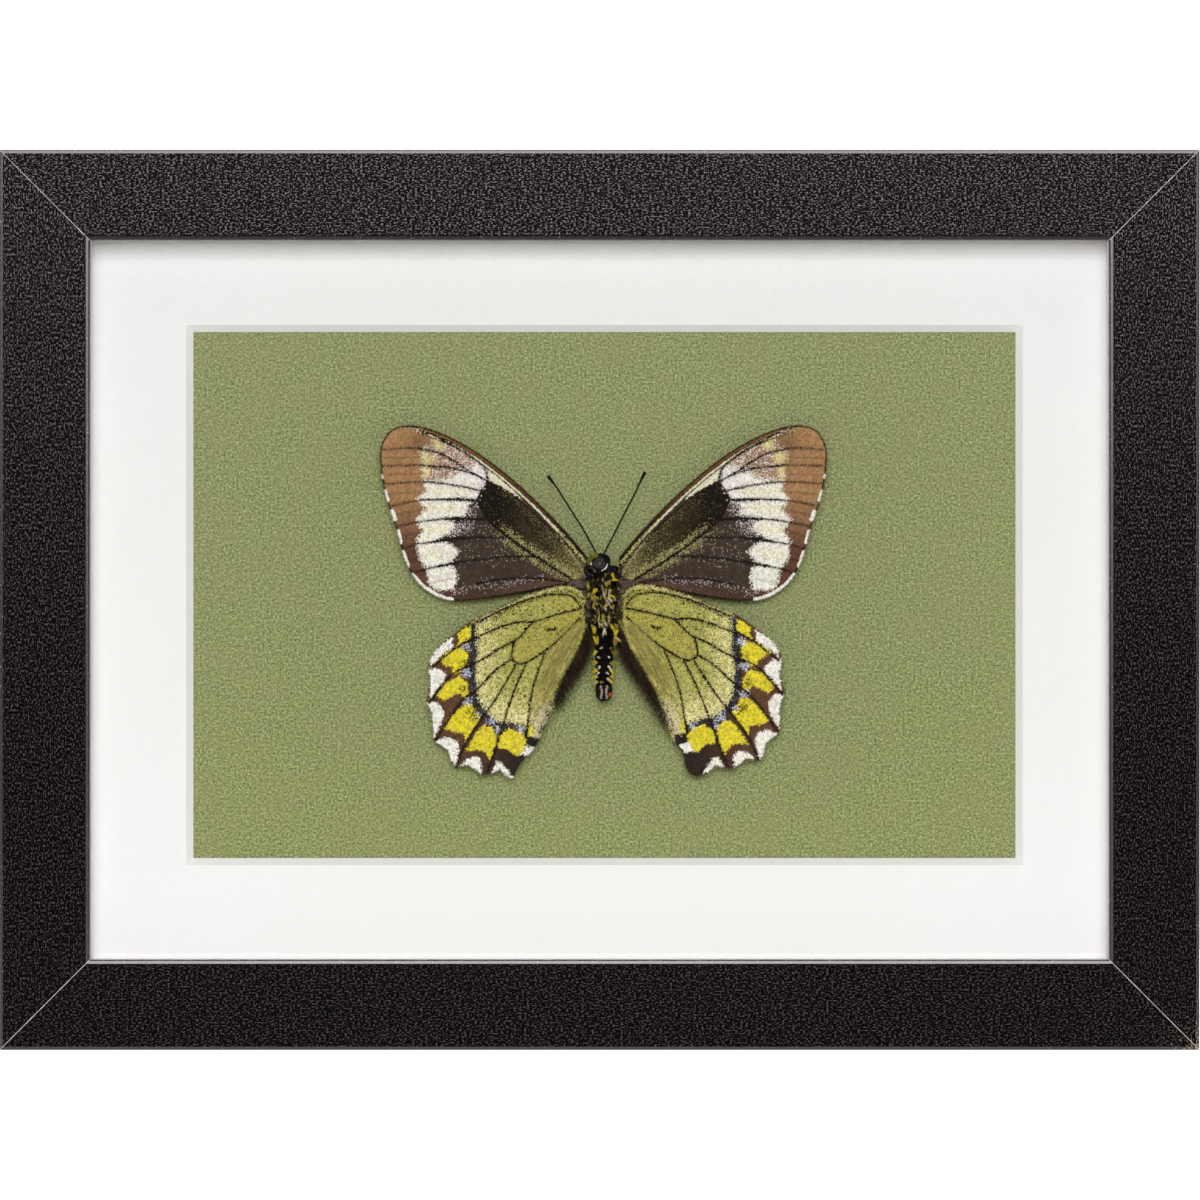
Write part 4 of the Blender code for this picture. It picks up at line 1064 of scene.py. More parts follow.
def lumpy_ellipsoid(centre, half, lumps, size, seed, segments=72, rings=48):
    """Points and faces of an ellipsoid with soft lumps; half sizes are across, along and in depth."""
    points = [(0.0, 0.0, 1.0)]
    for ring in range(1, rings):
        tilt = math.pi * ring / rings
        for segment in range(segments):
            angle = 2 * math.pi * segment / segments
            points.append((math.sin(tilt) * math.cos(angle), math.sin(tilt) * math.sin(angle),
                           math.cos(tilt)))
    points.append((0.0, 0.0, -1.0))
    points = np.array(points)
    wrapped = np.column_stack([points[:, 0] * half[0] + points[:, 1] * half[2] * 0.7, points[:, 2] * half[1]])
    swell = 1 + lumps * (soft_noise(wrapped + 50, size, seed) - 0.5)
    points = points * swell[:, None] * (np.array([half[0], half[2], half[1]]) * MM)
    points += body_point(*centre)
    faces = [[0, 1 + index, 1 + (index + 1) % segments] for index in range(segments)]
    faces += [[face[0], *face[:0:-1]] for face in band_faces(rings - 1, segments, 1)]
    last = 1 + (rings - 2) * segments
    faces += [[last + (index + 1) % segments, last + index, len(points) - 1] for index in range(segments)]
    return points, faces


def abdomen_radius(down):
    """The abdomen's radius in millimetres, that far below its top: segments, then the clasper block."""
    pitch = ABDOMEN_LENGTH / ABDOMEN_SEGMENTS
    if down < ABDOMEN_LENGTH:
        share = down / ABDOMEN_LENGTH
        radius = ABDOMEN_RADIUS_TOP + (ABDOMEN_RADIUS_END - ABDOMEN_RADIUS_TOP) * share
        in_segment = (down % pitch) / pitch
        radius -= ABDOMEN_GROOVE * abs(2 * in_segment - 1) ** 4
        return radius * min(1.0, 0.55 + down / 2.2)
    share = min((down - ABDOMEN_LENGTH) / CLASPER_LENGTH, 1.0)
    waist = CLASPER_WAIST / CLASPER_RADIUS
    return CLASPER_RADIUS * min(1.0, waist + share * 1.2) * math.sqrt(max(0.0, 1 - share ** 5))


def build_abdomen(material):
    """The banded abdomen, and its claspers with a cleft and two pale stripes."""
    total = ABDOMEN_LENGTH + CLASPER_LENGTH
    top = ABDOMEN_TOP - ABDOMEN_SHOULDER
    random = np.random.default_rng(61)
    places = []
    shades = []
    for ring in range(1, ABDOMEN_RINGS):
        down = total * ring / ABDOMEN_RINGS
        clasper = down - ABDOMEN_LENGTH
        for segment in range(ABDOMEN_SIDES):
            angle = 2 * math.pi * segment / ABDOMEN_SIDES
            radius = abdomen_radius(down)
            across, forward = math.cos(angle), math.sin(angle)
            shade = ABDOMEN_SHADE
            if clasper > 0.2:
                cleft = math.exp(-(across * radius / CLEFT_WIDTH) ** 2) * max(0.0, forward)
                radius *= 1 - CLEFT_DEPTH * cleft * min(1.0, clasper)
                stripe = abs(abs(across * radius) - 0.5 - 0.1 * math.sin(3 * clasper)) < 0.2 and forward > 0
                shade = CLASPER_SHADE
                if stripe and clasper < 2.9 and random.random() < 0.75:
                    shade = CLASPER_STRIPE
                if across > 0.62 and 1.7 < clasper < 2.5:
                    shade = CLASPER_RUST
            elif random.random() < 0.12:
                shade = ABDOMEN_SPECK
            places.append(body_point(ABDOMEN_X + across * radius, top - down, BODY_LAYER - forward * radius))
            shades.append(colour(*shade))
    places += [body_point(ABDOMEN_X, top, BODY_LAYER), body_point(ABDOMEN_X, top - total, BODY_LAYER)]
    shades += [colour(18, 14, 11), colour(40, 33, 28)]
    first, last = len(places) - 2, len(places) - 1
    end = (ABDOMEN_RINGS - 2) * ABDOMEN_SIDES
    faces = band_faces(ABDOMEN_RINGS - 1, ABDOMEN_SIDES)
    for index in range(ABDOMEN_SIDES):
        after = (index + 1) % ABDOMEN_SIDES
        faces += [[first, after, index], [last, end + index, end + after]]
    piece = mesh_piece("banded_abdomen", places, faces, material, np.array(shades))
    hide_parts("abdomen")


def tube_piece(name, path, radii, material, node=None, sides=12):
    """A round tube through the places, closed at both ends."""
    path = np.array(path)
    ahead = np.gradient(path, axis=0)
    ahead /= np.linalg.norm(ahead, axis=1)[:, None]
    across = np.cross(ahead, [0.0, 1.0, 0.0])
    across /= np.linalg.norm(across, axis=1)[:, None]
    beside = np.cross(ahead, across)
    points = []
    for middle, one, two, radius in zip(path, across, beside, radii):
        for side in range(sides):
            angle = 2 * math.pi * side / sides
            points.append(middle + (one * math.cos(angle) + two * math.sin(angle)) * radius)
    faces = [list(range(sides))[::-1], [(len(path) - 1) * sides + side for side in range(sides)]]
    faces += band_faces(len(path), sides)
    piece = mesh_piece(name, points, faces, material)
    if node:
        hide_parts(node)


ANTENNA_PATHS = {
    "left": [(-1.35, 9.2), (-3.9, 13.9), (-6.6, 18.2), (-8.6, 21.4), (-10.0, 23.4), (-11.2, 25.0)],
    "right": [(0.0, 9.1), (2.1, 13.2), (4.7, 18.3), (6.5, 21.8), (7.5, 24.0), (8.4, 25.8)],
}
ANTENNA_ROOT_LAYER = 11.2
ANTENNA_LEAN = 1.6
ANTENNA_RADIUS = 0.19
ANTENNA_CLUB_RADIUS = 0.40
ANTENNA_CLUB_SHARE = 0.22
ANTENNA_RINGS = 62
ANTENNA_RING_DEPTH = 0.14
ANTENNA_TIP_SHARE = 0.025

PROBOSCIS_CENTRE = (-2.9, 5.8, 8.6)
PROBOSCIS_TURNS = 1.6
PROBOSCIS_START = math.radians(35)
PROBOSCIS_REACH = 1.15
PROBOSCIS_INNER_REACH = 0.45
PROBOSCIS_RADIUS = 0.19
PROBOSCIS_TAPER = 0.05

LEG_RADIUS = 0.24
LEG_TAPER = 0.08
LEG_SWELL = 0.05
LEG_PATHS = {
    "front_left": [(-2.9, 4.6, 9.3), (-2.2, 2.6, 8.5), (-0.9, 3.8, 8.3), (-0.4, 1.6, 8.5)],
    "front_right": [(2.9, 3.8, 9.6), (2.4, 1.4, 8.8), (1.1, 2.9, 8.3), (0.7, 0.6, 8.5)],
    "hind_left": [(-2.7, -0.6, 9.6), (-1.9, -2.8, 9.1), (-0.9, -1.0, 8.4), (-0.5, -3.9, 9.1)],
    "hind_right": [(2.7, -0.9, 9.6), (2.0, -3.2, 9.2), (1.0, -1.3, 8.4), (0.6, -4.3, 9.2)],
}


def build_antennae(material):
    """Two ringed antennae, each with a club at its end."""
    for side, path in ANTENNA_PATHS.items():
        flat = smooth_path(path, 40)
        places = []
        radii = []
        for index, (across, up) in enumerate(flat):
            share = index / (len(flat) - 1)
            places.append(body_point(across, up, ANTENNA_ROOT_LAYER - ANTENNA_LEAN * share))
            club = max(0.0, (share - 1 + ANTENNA_CLUB_SHARE) / ANTENNA_CLUB_SHARE)
            swell = math.sin(club * math.pi / 2)
            radius = ANTENNA_RADIUS + (ANTENNA_CLUB_RADIUS - ANTENNA_RADIUS) * swell
            ringed = 1 - ANTENNA_RING_DEPTH * abs(math.cos(math.pi * ANTENNA_RINGS * share)) ** 6
            in_tip = max(0.0, (share - 1 + ANTENNA_TIP_SHARE) / ANTENNA_TIP_SHARE)
            tip = math.sqrt(max(0.05, 1 - in_tip ** 2))
            radii.append(radius * ringed * tip * MM)
        tube_piece("ringed_antenna_" + side, places, radii, material, "antenna_" + side)


def build_proboscis(material):
    """The coiled tongue, as a spiral that thins inwards."""
    places = []
    radii = []
    for share in np.linspace(0, 1, 90):
        angle = PROBOSCIS_START + 2 * math.pi * PROBOSCIS_TURNS * share
        reach = PROBOSCIS_REACH + (PROBOSCIS_INNER_REACH - PROBOSCIS_REACH) * share
        places.append(body_point(PROBOSCIS_CENTRE[0] + reach * math.cos(angle),
                                 PROBOSCIS_CENTRE[1] + reach * math.sin(angle), PROBOSCIS_CENTRE[2]))
        radii.append((PROBOSCIS_RADIUS - PROBOSCIS_TAPER * share) * MM)
    tube_piece("curled_proboscis", places, radii, material, "proboscis")


def build_legs(material):
    """Folded legs that swell at their joints."""
    for name, path in LEG_PATHS.items():
        places = [body_point(*place) for place in smooth_path(path, 14)]
        steps = np.linspace(0, 1, len(places))
        radii = (LEG_RADIUS - LEG_TAPER * steps + LEG_SWELL * np.cos(steps * 6 * math.pi)) * MM
        tube_piece("jointed_leg_" + name, places, radii, material, "leg_" + name)


# Lumps about the thorax: across, up, depth, half width, half length and half depth
BLACK_LUMPS = [
    (0.1, 6.1, 12.0, 1.9, 1.5, 1.7), (2.1, 6.1, 12.3, 1.0, 1.1, 1.0), (2.6, 4.4, 12.2, 0.9, 1.3, 1.1),
    (-2.3, 6.0, 12.4, 1.0, 1.1, 1.0), (-2.7, 4.3, 12.2, 0.9, 1.3, 1.1), (2.6, -4.6, 12.2, 0.9, 1.3, 1.0),
    (-2.4, -4.6, 12.2, 0.9, 1.4, 1.0), (0.1, -5.0, 12.0, 1.9, 1.3, 1.8),
]
BROWN_LUMPS = [
    (3.7, 1.8, 11.4, 0.85, 0.65, 0.6), (-3.5, 3.3, 11.7, 0.7, 0.6, 0.6), (3.4, 3.6, 11.8, 0.6, 0.8, 0.6),
    (-3.2, 1.2, 11.9, 0.8, 0.9, 0.8), (3.2, -0.6, 12.0, 0.8, 1.0, 0.8), (-3.0, -1.2, 12.0, 0.8, 1.2, 0.8),
    (3.1, -2.6, 12.1, 0.6, 1.2, 0.6), (-3.0, -3.0, 12.1, 0.6, 1.2, 0.6),
    (4.9, 3.1, 12.8, 2.2, 0.95, 0.4), (-4.9, 3.1, 12.8, 2.2, 0.95, 0.4),
]


# Thin arcs about the eye: reach and half thickness in millimetres, and two angles in degrees
# counter-clockwise from the right
EYE_CRESCENTS = {
    "eye_crescent_right": (1.5, 0.2, -2, -78),
    "eye_crescent_left": (1.75, 0.17, 172, 208),
}
EYE_SOCKET_REACH = 1.3
EYE_SOCKET_RADIUS = 0.17
EYE_SOCKET_POINTS = 60
PALPS = {
    "palp_upper": ([(-3.1, 6.9, 9.6), (-2.3, 6.3, 9.2), (-1.5, 5.6, 9.4)], 0.27),
    "palp_lower": ([(-3.6, 4.7, 9.4), (-2.9, 5.1, 9.1), (-2.1, 4.9, 9.4)], 0.22),
}


def arc_about_eye(reach, start, end, count=24):
    """Places on an arc about the eye, between two angles in degrees counter-clockwise from the right."""
    return [body_point(EYE_CENTRE[0] + reach * math.cos(angle), EYE_CENTRE[1] + reach * math.sin(angle),
                       EYE_CENTRE[2] - 0.1) for angle in np.radians(np.linspace(start, end, count))]


def build_head_and_thorax(chitin):
    """Head and thorax with their lumps, the eye with its socket and crescents, and the palps."""
    brown = wing_root_material()
    rim = plain_material("pale_rim", 0.6, (214, 206, 180), (244, 240, 224))
    palp = plain_material("grey_palp", 0.5, (58, 50, 54), (122, 112, 116))
    parts = (("head", HEAD_CENTRE, HEAD_HALF, 31), ("thorax", THORAX_CENTRE, THORAX_HALF, 33))
    for name, centre, half, seed in parts:
        points, faces = lumpy_ellipsoid(centre, half, 0.22, 1.2, seed)
        piece = mesh_piece("lumpy_" + name, points, faces, chitin)
        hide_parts(name)
    for kind, lumps, material in (("black", BLACK_LUMPS, chitin), ("brown", BROWN_LUMPS, brown)):
        for index, (across, up, depth, *half) in enumerate(lumps):
            points, faces = lumpy_ellipsoid((across, up, depth), half, 0.35, 0.7, 40 + index, 28, 18)
            mesh_piece(f"{kind}_lump_{index}", points, faces, material)
    points, faces = lumpy_ellipsoid(EYE_CENTRE, (EYE_RADIUS,) * 3, 0.0, 1.0, 32)
    mesh_piece("compound_eye", points, faces, eye_material())
    socket = arc_about_eye(EYE_SOCKET_REACH, 0, 359, EYE_SOCKET_POINTS)
    tube_piece("eye_socket", socket, [EYE_SOCKET_RADIUS * MM] * EYE_SOCKET_POINTS, chitin)
    for name, (reach, thick, start, end) in EYE_CRESCENTS.items():
        swell = np.sin(np.linspace(0.05, 0.95, 24) * math.pi) ** 0.6
        tube_piece(name, arc_about_eye(reach, start, end), thick * MM * swell, rim)
    for name, (path, thick) in PALPS.items():
        places = [body_point(*place) for place in smooth_path(path, 10)]
        swell = np.sin(np.linspace(0.12, 0.88, len(places)) * math.pi) ** 0.5
        tube_piece(name, places, thick * MM * swell, palp)


# Tufts on the body, in millimetres and degrees clockwise from straight up:
# across, up, the way that it lies, length, width and colour
YELLOW = (222, 198, 52)
DULL_YELLOW = (160, 138, 60)
AMBER = (196, 172, 54)
CREAM_YELLOW = (206, 192, 122)
CREAM = (222, 216, 186)
WHITE = (226, 222, 214)
BLACK = (16, 12, 9)
OLIVE = (128, 118, 50)
BROWN = (66, 50, 38)
TUFTS = [
    (-2.5, 8.8, -35, 1.3, 0.9, OLIVE), (-1.7, 9.2, -20, 1.2, 0.8, DULL_YELLOW),
    (-3.2, 7.9, -50, 1.1, 0.7, OLIVE), (0.4, 5.1, 190, 1.4, 0.9, AMBER),
    (0.9, 5.6, 60, 1.0, 0.5, CREAM_YELLOW), (1.9, 4.6, 150, 1.9, 0.6, YELLOW),
    (2.4, 4.0, 110, 1.4, 0.5, YELLOW), (-3.1, 3.0, 165, 1.8, 0.6, YELLOW),
    (-2.0, 4.0, 205, 0.9, 0.3, OLIVE), (-1.9, 1.6, 195, 1.4, 0.45, YELLOW),
    (-1.3, 0.5, 110, 1.3, 0.4, YELLOW), (0.9, 3.0, 160, 1.4, 0.8, AMBER),
    (-0.4, 2.5, 145, 1.8, 0.4, CREAM_YELLOW), (0.1, 1.0, 170, 2.2, 0.3, CREAM),
    (0.6, 1.5, 175, 1.6, 0.3, CREAM_YELLOW), (1.1, 0.4, 155, 2.0, 0.4, CREAM),
    (1.0, 2.1, 200, 1.6, 0.4, DULL_YELLOW), (-1.1, -1.1, 148, 2.9, 0.22, CREAM_YELLOW),
    (-1.6, -0.4, 135, 1.6, 0.3, DULL_YELLOW), (0.5, -1.8, 150, 1.0, 0.35, WHITE),
    (1.4, -1.4, 120, 1.4, 0.3, CREAM), (-0.8, -3.1, 182, 1.1, 0.3, CREAM_YELLOW),
    (1.9, -3.1, 215, 1.1, 0.6, AMBER), (-0.6, -4.1, 145, 1.0, 0.35, CREAM_YELLOW),
    (0.6, -4.0, 228, 1.4, 0.5, CREAM_YELLOW), (0.5, -5.0, 165, 1.0, 0.4, CREAM),
    (-0.3, -5.2, 150, 0.9, 0.3, CREAM), (0.0, -6.6, 197, 1.8, 0.2, CREAM),
    (0.4, -6.5, 167, 1.7, 0.18, CREAM), (1.8, -5.6, 140, 1.5, 0.5, YELLOW),
    (2.6, -5.4, 180, 1.5, 0.8, DULL_YELLOW), (-1.9, -6.2, 168, 1.6, 0.55, YELLOW),
    (-1.4, -8.3, 175, 1.9, 0.9, YELLOW), (-2.2, -5.2, 100, 0.9, 0.2, CREAM_YELLOW),
    (2.4, -6.8, 190, 1.4, 0.7, YELLOW), (2.3, -8.6, 200, 1.3, 0.8, DULL_YELLOW),
    (3.1, -8.1, 130, 1.9, 0.16, CREAM_YELLOW), (2.2, -10.9, 170, 1.4, 0.8, OLIVE),
    (-1.8, -10.8, 212, 1.4, 0.4, YELLOW), (-1.9, -12.8, 225, 1.2, 0.6, AMBER),
    (-1.9, -14.3, 240, 1.2, 0.6, YELLOW), (-1.8, -15.6, 232, 1.1, 0.5, YELLOW),
    (-1.7, -16.7, 215, 1.0, 0.45, CREAM_YELLOW), (1.9, -13.0, 145, 1.2, 0.6, DULL_YELLOW),
    (1.7, -14.4, 145, 1.2, 0.35, YELLOW), (1.8, -15.6, 150, 1.0, 0.5, AMBER),
    (1.6, -16.6, 140, 1.1, 0.4, YELLOW), (-0.5, -9.7, 240, 0.6, 0.25, CREAM),
    (1.5, -9.8, 150, 0.4, 0.25, DULL_YELLOW), (-0.9, -11.6, 100, 0.6, 0.14, WHITE),
    (1.2, -11.6, 135, 0.5, 0.14, WHITE), (-0.9, -13.7, 200, 0.7, 0.28, WHITE),
    (1.2, -13.6, 140, 0.8, 0.18, WHITE), (-1.1, -14.8, 220, 0.5, 0.16, WHITE),
    (0.9, -14.8, 120, 0.8, 0.2, WHITE), (1.0, -16.0, 150, 0.6, 0.3, CREAM),
    (-0.2, -16.6, 90, 0.8, 0.25, DULL_YELLOW),
]


# Hairs in millimetres: half widths at the root, and how many in a patch or over a part
TUFT_HAIR = 0.07
FUR_HAIR = 0.045
WING_HAIR = 0.035
FUR_PATCHES = 60
SIDE_FUR_PATCHES = 9
STRANDS = 90
ABDOMEN_HAIRS = 2600
ABDOMEN_HAIR_LENGTH = 0.5
# Dark fuzz of the hindwings: real fuzz, with hairs long enough to stand for the shadow on the card beside the
# abdomen
FUZZ_AND_SHADOW_HAIRS = 2600
SILK_HAIRS = 420
FUZZ_AND_SHADOW_HEADING = 200
SILK_HEADING = 154
SILK_LINE = [(4.5, -3.5), (7.5, -9.0), (11.0, -16.5), (13.2, -25.5)]


def bulge(across, up, centre, half):
    """How far a rounded part stands out towards the front at a place."""
    share = 1 - ((across - centre[0]) / half[0]) ** 2 - ((up - centre[1]) / half[1]) ** 2
    return half[2] * np.sqrt(np.maximum(share, 0))


def surface_depth(across, up):
    """The depth of the body's front at a place, so that hairs start on it."""
    rise = np.maximum(bulge(across, up, THORAX_CENTRE, THORAX_HALF),
                      bulge(across, up, HEAD_CENTRE, HEAD_HALF))
    abdomen = np.where((up < ABDOMEN_TOP + 1) & (up > -20), 1 - ((across - ABDOMEN_X) / 1.75) ** 2, 0)
    rise = np.maximum(rise, 1.7 * np.sqrt(np.maximum(abdomen, 0)))
    return BODY_LAYER - np.maximum(rise, 0.5)


def body_places(flat, depth):
    """Flat places on the body, with a depth each, as places in the frame."""
    return np.column_stack([BODY_X + flat[:, 0] * MM, FRAME_LOW.y + depth * MM, BODY_Z + flat[:, 1] * MM])


def fur_patches(random):
    """Black and brown patches over the thorax, then brown ones along its sides."""
    patches = []
    for _ in range(FUR_PATCHES):
        patches.append((random.uniform(-2.7, 2.7), random.uniform(-5.5, 6.5), 180 + random.normal(0, 25),
                        1.3, 0.5, BLACK if random.random() < 0.7 else BROWN))
    for side in (-1, 1):
        for _ in range(SIDE_FUR_PATCHES):
            patches.append((side * random.uniform(2.4, 3.6), random.uniform(-4.5, 3.5),
                            180 - side * 25 + random.normal(0, 15), 1.5, 0.6, BROWN))
    return patches


def thin_strands(random):
    """Thin loose strands in mixed colours."""
    strands = []
    for _ in range(STRANDS):
        shade = [CREAM, CREAM_YELLOW, DULL_YELLOW, BROWN, YELLOW, AMBER][random.integers(6)]
        strands.append((random.normal(0.2, 1.3), random.uniform(-5.2, 4.2), 165 + random.normal(0, 40),
                        random.uniform(0.7, 1.7), 0.12, shade))
    return strands


def build_body_hairs(material):
    """Tufts whose hairs start side by side and meet at the tip, over a short black fur."""
    random = np.random.default_rng(71)
    roots, ways, lengths, shades, bends = [], [], [], [], []
    fur = fur_patches(random)
    for number, (across, up, heading, length, width, shade) in enumerate(fur + thin_strands(random) + TUFTS):
        width = 1.3 * width
        count = int(12 + 50 * width)
        angle = math.radians(heading)
        way = np.array([math.sin(angle), math.cos(angle)])
        beside = np.array([way[1], -way[0]])
        spread = random.uniform(-0.5, 0.5, count)
        start = np.array([across, up]) - 0.5 * length * way + spread[:, None] * width * beside
        start += random.normal(0, 0.06, start.shape)
        aim = np.array([across, up]) + 0.5 * length * way + 0.35 * spread[:, None] * width * beside
        aim += random.normal(0, 0.10, aim.shape) - way * random.uniform(0, 0.45, (count, 1)) * length
        lift = random.uniform(0.15, 0.7, count) if number >= len(fur) else random.uniform(0.0, 0.3, count)
        low = surface_depth(start[:, 0], start[:, 1])
        high = np.minimum(surface_depth(aim[:, 0], aim[:, 1]), low + 0.3) - lift
        first = body_places(start, low)
        last = body_places(aim, high)
        reach = np.linalg.norm(last - first, axis=1)
        roots.append(first)
        ways.append((last - first) / reach[:, None])
        lengths.append(reach)
        bends.append(random.normal(0, 0.07, (count, 3)))
        shades.append(np.clip(colour(*shade) * random.uniform(0.55, 1.2, (count, 1)), 0, 1))
    piece = hairs("body_tufts", np.vstack(roots), np.vstack(ways), np.concatenate(lengths), TUFT_HAIR * MM,
                  np.vstack(shades), material, np.vstack(bends))


def build_abdomen_hairs(material):
    """Short black fur down the abdomen."""
    random = np.random.default_rng(72)
    count = ABDOMEN_HAIRS
    down = random.uniform(0.3, ABDOMEN_LENGTH, count)
    angle = random.uniform(-0.15, math.pi + 0.15, count)
    across, forward = np.cos(angle), np.sin(angle)
    radius = np.array([abdomen_radius(place) for place in down])
    top = ABDOMEN_TOP - ABDOMEN_SHOULDER
    flat = np.column_stack([ABDOMEN_X + across * radius, top - down])
    roots = body_places(flat, BODY_LAYER - forward * radius)
    ways = np.column_stack([0.5 * across + random.normal(0, 0.15, count), -0.3 * forward,
                            -0.9 + random.normal(0, 0.15, count)])
    ways /= np.linalg.norm(ways, axis=1)[:, None]
    lengths = ABDOMEN_HAIR_LENGTH * random.uniform(0.5, 1.2, count) * MM
    shades = colour(*BLACK) * random.uniform(0.3, 1.2, (count, 1))
    piece = hairs("abdomen_fur", roots, ways, lengths, FUR_HAIR * MM, shades, material)


def along_path(path, share):
    """Places at shares of the way along a path's points."""
    run = np.linspace(0, 1, len(path))
    return np.column_stack([np.interp(share, run, path[:, axis]) for axis in (0, 1)])


def headed(random, start, heading, scatter):
    """One flat way for each start, about a heading in degrees clockwise from straight up."""
    angle = np.radians(random.normal(heading, scatter, len(start)))
    return np.column_stack([np.sin(angle), np.cos(angle)])


def build_wing_hairs(name, wing, material, seed):
    """Dark fuzz along a hindwing's inner margin, whose longer hairs reach over the card towards the abdomen
    as painted shadow there, and long pale hairs over its inner part.
    """
    random = np.random.default_rng(seed)
    inner = smooth_path(wing.stretches[-1], 6)[::-1]
    fuzz, silk = FUZZ_AND_SHADOW_HAIRS, SILK_HAIRS

    # Fuzz hairs, the longest of them laid over the card as painted shadow beside the abdomen
    at = 0.12 + 0.44 * random.beta(1.3, 1.5, fuzz)
    fuzz_and_shadow_roots = along_path(inner, at)
    fuzz_and_shadow_roots += random.normal(0, 0.3, fuzz_and_shadow_roots.shape) + np.array([0.35, 0.0])
    way = headed(random, fuzz_and_shadow_roots, FUZZ_AND_SHADOW_HEADING, 15)
    reach = random.uniform(0.9, 3.7, fuzz) * (1.1 - 0.5 * np.abs(at - 0.35))
    fuzz_and_shadow_tips = fuzz_and_shadow_roots + way * reach[:, None]
    mixed = np.where(random.random((fuzz, 1)) < 0.8, colour(30, 22, 16), colour(92, 74, 52))
    fuzz_and_shadow_shades = mixed * random.uniform(0.7, 1.2, (fuzz, 1))

    silk_roots = along_path(smooth_path(SILK_LINE, 8), random.uniform(0.05, 0.72, silk))
    silk_roots += np.column_stack([random.normal(0.2, 1.1, silk), random.normal(0, 0.5, silk)])
    way = headed(random, silk_roots, SILK_HEADING, 6)
    silk_tips = silk_roots + way * random.uniform(2.0, 4.2, silk)[:, None]
    silk_shades = colour(206, 192, 112) * random.uniform(0.25, 1.15, (silk, 1))

    lifts = np.concatenate([random.uniform(0.05, 0.4, fuzz), random.uniform(0.1, 0.3, silk)])
    first = wing.placed(np.vstack([fuzz_and_shadow_roots, silk_roots]), WING_THICKNESS / 2)
    last = wing.placed(np.vstack([fuzz_and_shadow_tips, silk_tips]), WING_THICKNESS / 2, lifts)
    ways = last - first
    reach = np.linalg.norm(ways, axis=1)
    shades = np.clip(np.vstack([fuzz_and_shadow_shades, silk_shades]), 0, 1)
    piece = hairs(name, first, ways / reach[:, None], reach, WING_HAIR * MM, shades, material)


def build_specimen():
    """The whole butterfly: wings with fringes and hairs, then the body."""
    forewing_scales = scale_material("forewing_scale_cover", 0.7)
    hindwing_scales = scale_material("hindwing_scale_cover", 0.7)
    fur = scale_material("fur", 0.6)
    chitin = chitin_material()
    for side_name, side, seed in (("left", -1, 100), ("right", 1, 200)):
        turn = HINDWING_TURN_RIGHT if side > 0 else 0.0
        fore = Wing(FOREWING_EDGE, side, 0.0, forewing_depth)
        hind = Wing(HINDWING_EDGE + [HINDWING_INNER_EDGE[side_name]], side, turn, hindwing_depth)
        colours = build_wing("scaled_forewing_" + side_name, "forewing_" + side_name, fore, FOREWING_VEINS,
                             forewing_colours, forewing_scales, seed)
        build_fringe("forewing_fringe_" + side_name, fore, colours, forewing_scales,
                     seed + 40)
        colours = build_wing("scaled_hindwing_" + side_name, "hindwing_" + side_name, hind, HINDWING_VEINS,
                             hindwing_colours, hindwing_scales, seed + 50)
        build_fringe("hindwing_fringe_" + side_name, hind, colours, hindwing_scales,
                     seed + 60)
        build_wing_hairs("hindwing_hairs_and_shadow_" + side_name, hind, fur, seed + 70)
    build_head_and_thorax(chitin)
    build_abdomen(scale_material("abdomen_scale_cover", 0.5))
    build_antennae(chitin)
    build_proboscis(chitin)
    build_legs(chitin)
    build_body_hairs(fur)
    build_abdomen_hairs(fur)


AMBIENT = 0.11
FLOOR_REACH = 0.42
FLOOR_GAP = 0.0001

# Lights: height and turn about the frame in degrees, distance and size in metres, and power
LIGHTS = {
    "front_light": (9.0, 0.0, 1.6, (0.5, 0.4), 17.3),
    "gloss_light": (12.0, 0.0, 1.5, (0.9, 0.28), 9.0),
    "upper_light_-1": (50.0, -40.0, 1.2, (0.5, 0.3), 7.0),
    "upper_light_1": (50.0, 40.0, 1.2, (0.5, 0.3), 7.0),
}

# Camera, in metres, with its sensor's width in millimetres
CAMERA_AWAY = 1.5
CAMERA_FIELD = 0.2400
CAMERA_SHIFT = 0.0001
CAMERA_SENSOR = 36.0


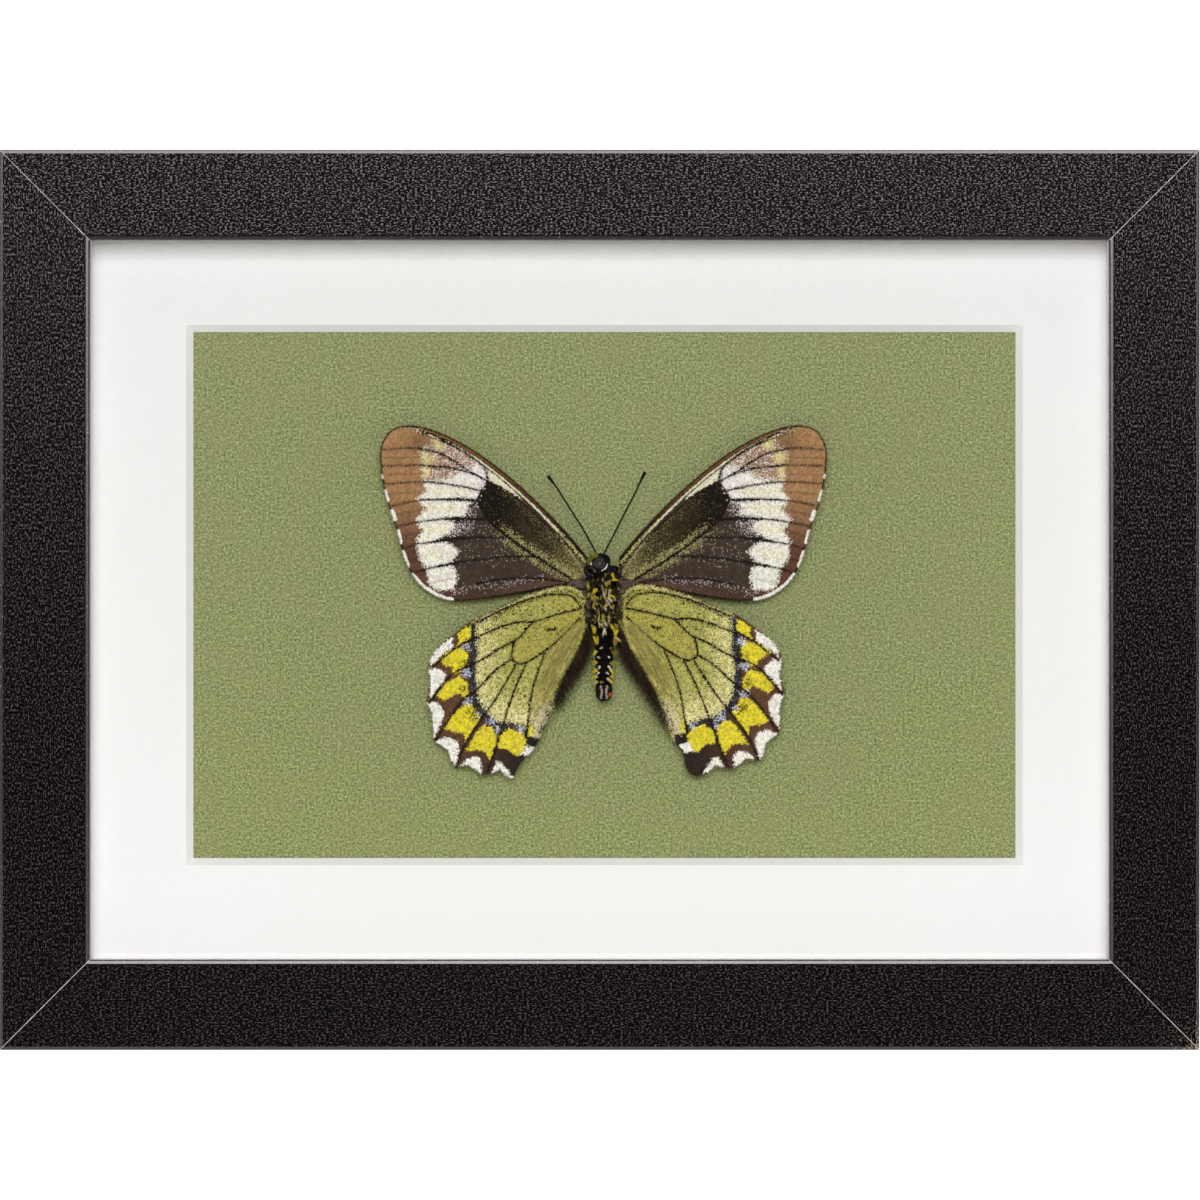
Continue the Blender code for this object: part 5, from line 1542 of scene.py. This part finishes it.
def build_stage():
    """Pale floor, white surroundings, a light at the camera, two higher up and one for the gloss."""
    floor = Nodes("pale_floor", (0.9, 0.9, 0.9), Roughness=0.9, Specular_IOR_Level=0.0)
    floor.shader.inputs["Emission Color"].default_value = (1, 1, 1, 1)
    path = floor.add("LightPath")
    floor.tree.links.new(path.outputs["Is Camera Ray"], floor.shader.inputs["Emission Strength"])
    mesh = bpy.data.meshes.new("floor")
    reach = FLOOR_REACH
    mesh.from_pydata([(-reach, -reach, 0), (reach, -reach, 0), (reach, reach, 0), (-reach, reach, 0)], [],
                     [(0, 1, 2, 3)])
    mesh.materials.append(floor.material)
    plane = bpy.data.objects.new("floor", mesh)
    bpy.context.scene.collection.objects.link(plane)
    plane.location.z = FRAME_LOW.z - FLOOR_GAP

    world = bpy.data.worlds.new("surroundings")
    world.use_nodes = True
    world.cycles_visibility.glossy = False
    tree = world.node_tree
    path = tree.nodes.new("ShaderNodeLightPath")
    shown, cast = tree.nodes.new("ShaderNodeBackground"), tree.nodes.new("ShaderNodeBackground")
    mixed = tree.nodes.new("ShaderNodeMixShader")
    for light, strength in ((shown, 1.0), (cast, AMBIENT)):
        light.inputs["Color"].default_value = (1, 1, 1, 1)
        light.inputs["Strength"].default_value = strength
    tree.links.new(path.outputs["Is Camera Ray"], mixed.inputs[0])
    tree.links.new(cast.outputs[0], mixed.inputs[1])
    tree.links.new(shown.outputs[0], mixed.inputs[2])
    tree.links.new(mixed.outputs[0], tree.nodes["World Output"].inputs["Surface"])
    bpy.context.scene.world = world

    lamps = {name: add_light(name, *settings) for name, settings in LIGHTS.items()}
    lamps["front_light"].visible_glossy = False
    lamps["gloss_light"].visible_diffuse = False


def add_light(name, elevation, azimuth, away, size, power):
    """A soft rectangle that faces the middle of the frame."""
    light = bpy.data.lights.new(name, "AREA")
    light.shape = "RECTANGLE"
    light.size, light.size_y = size
    light.energy = power
    lamp = bpy.data.objects.new(name, light)
    bpy.context.scene.collection.objects.link(lamp)
    up, round_by = math.radians(elevation), math.radians(azimuth)
    way = Vector((math.sin(round_by) * math.cos(up), -math.cos(round_by) * math.cos(up), math.sin(up)))
    middle = Vector((0, 0, (FRAME_LOW.z + FRAME_HIGH.z) / 2))
    lamp.location = middle + way * away
    lamp.rotation_mode = "QUATERNION"
    lamp.rotation_quaternion = way.to_track_quat("Z", "Y")
    return lamp


def build_camera():
    """Straight in front of the frame, which fills the picture's width."""
    camera = bpy.data.cameras.new("camera")
    camera.sensor_width = CAMERA_SENSOR
    camera.lens = camera.sensor_width * CAMERA_AWAY / CAMERA_FIELD
    eye = bpy.data.objects.new("camera", camera)
    bpy.context.scene.collection.objects.link(eye)
    eye.location = (CAMERA_SHIFT, FRAME_LOW.y - CAMERA_AWAY, (FRAME_LOW.z + FRAME_HIGH.z) / 2)
    eye.rotation_euler = (math.pi / 2, 0, 0)
    bpy.context.scene.camera = eye
    bpy.context.scene.view_settings.view_transform = "Standard"


def main():
    build_camera()
    build_rails()
    dress_frame()
    build_specimen()
    build_stage()


main()
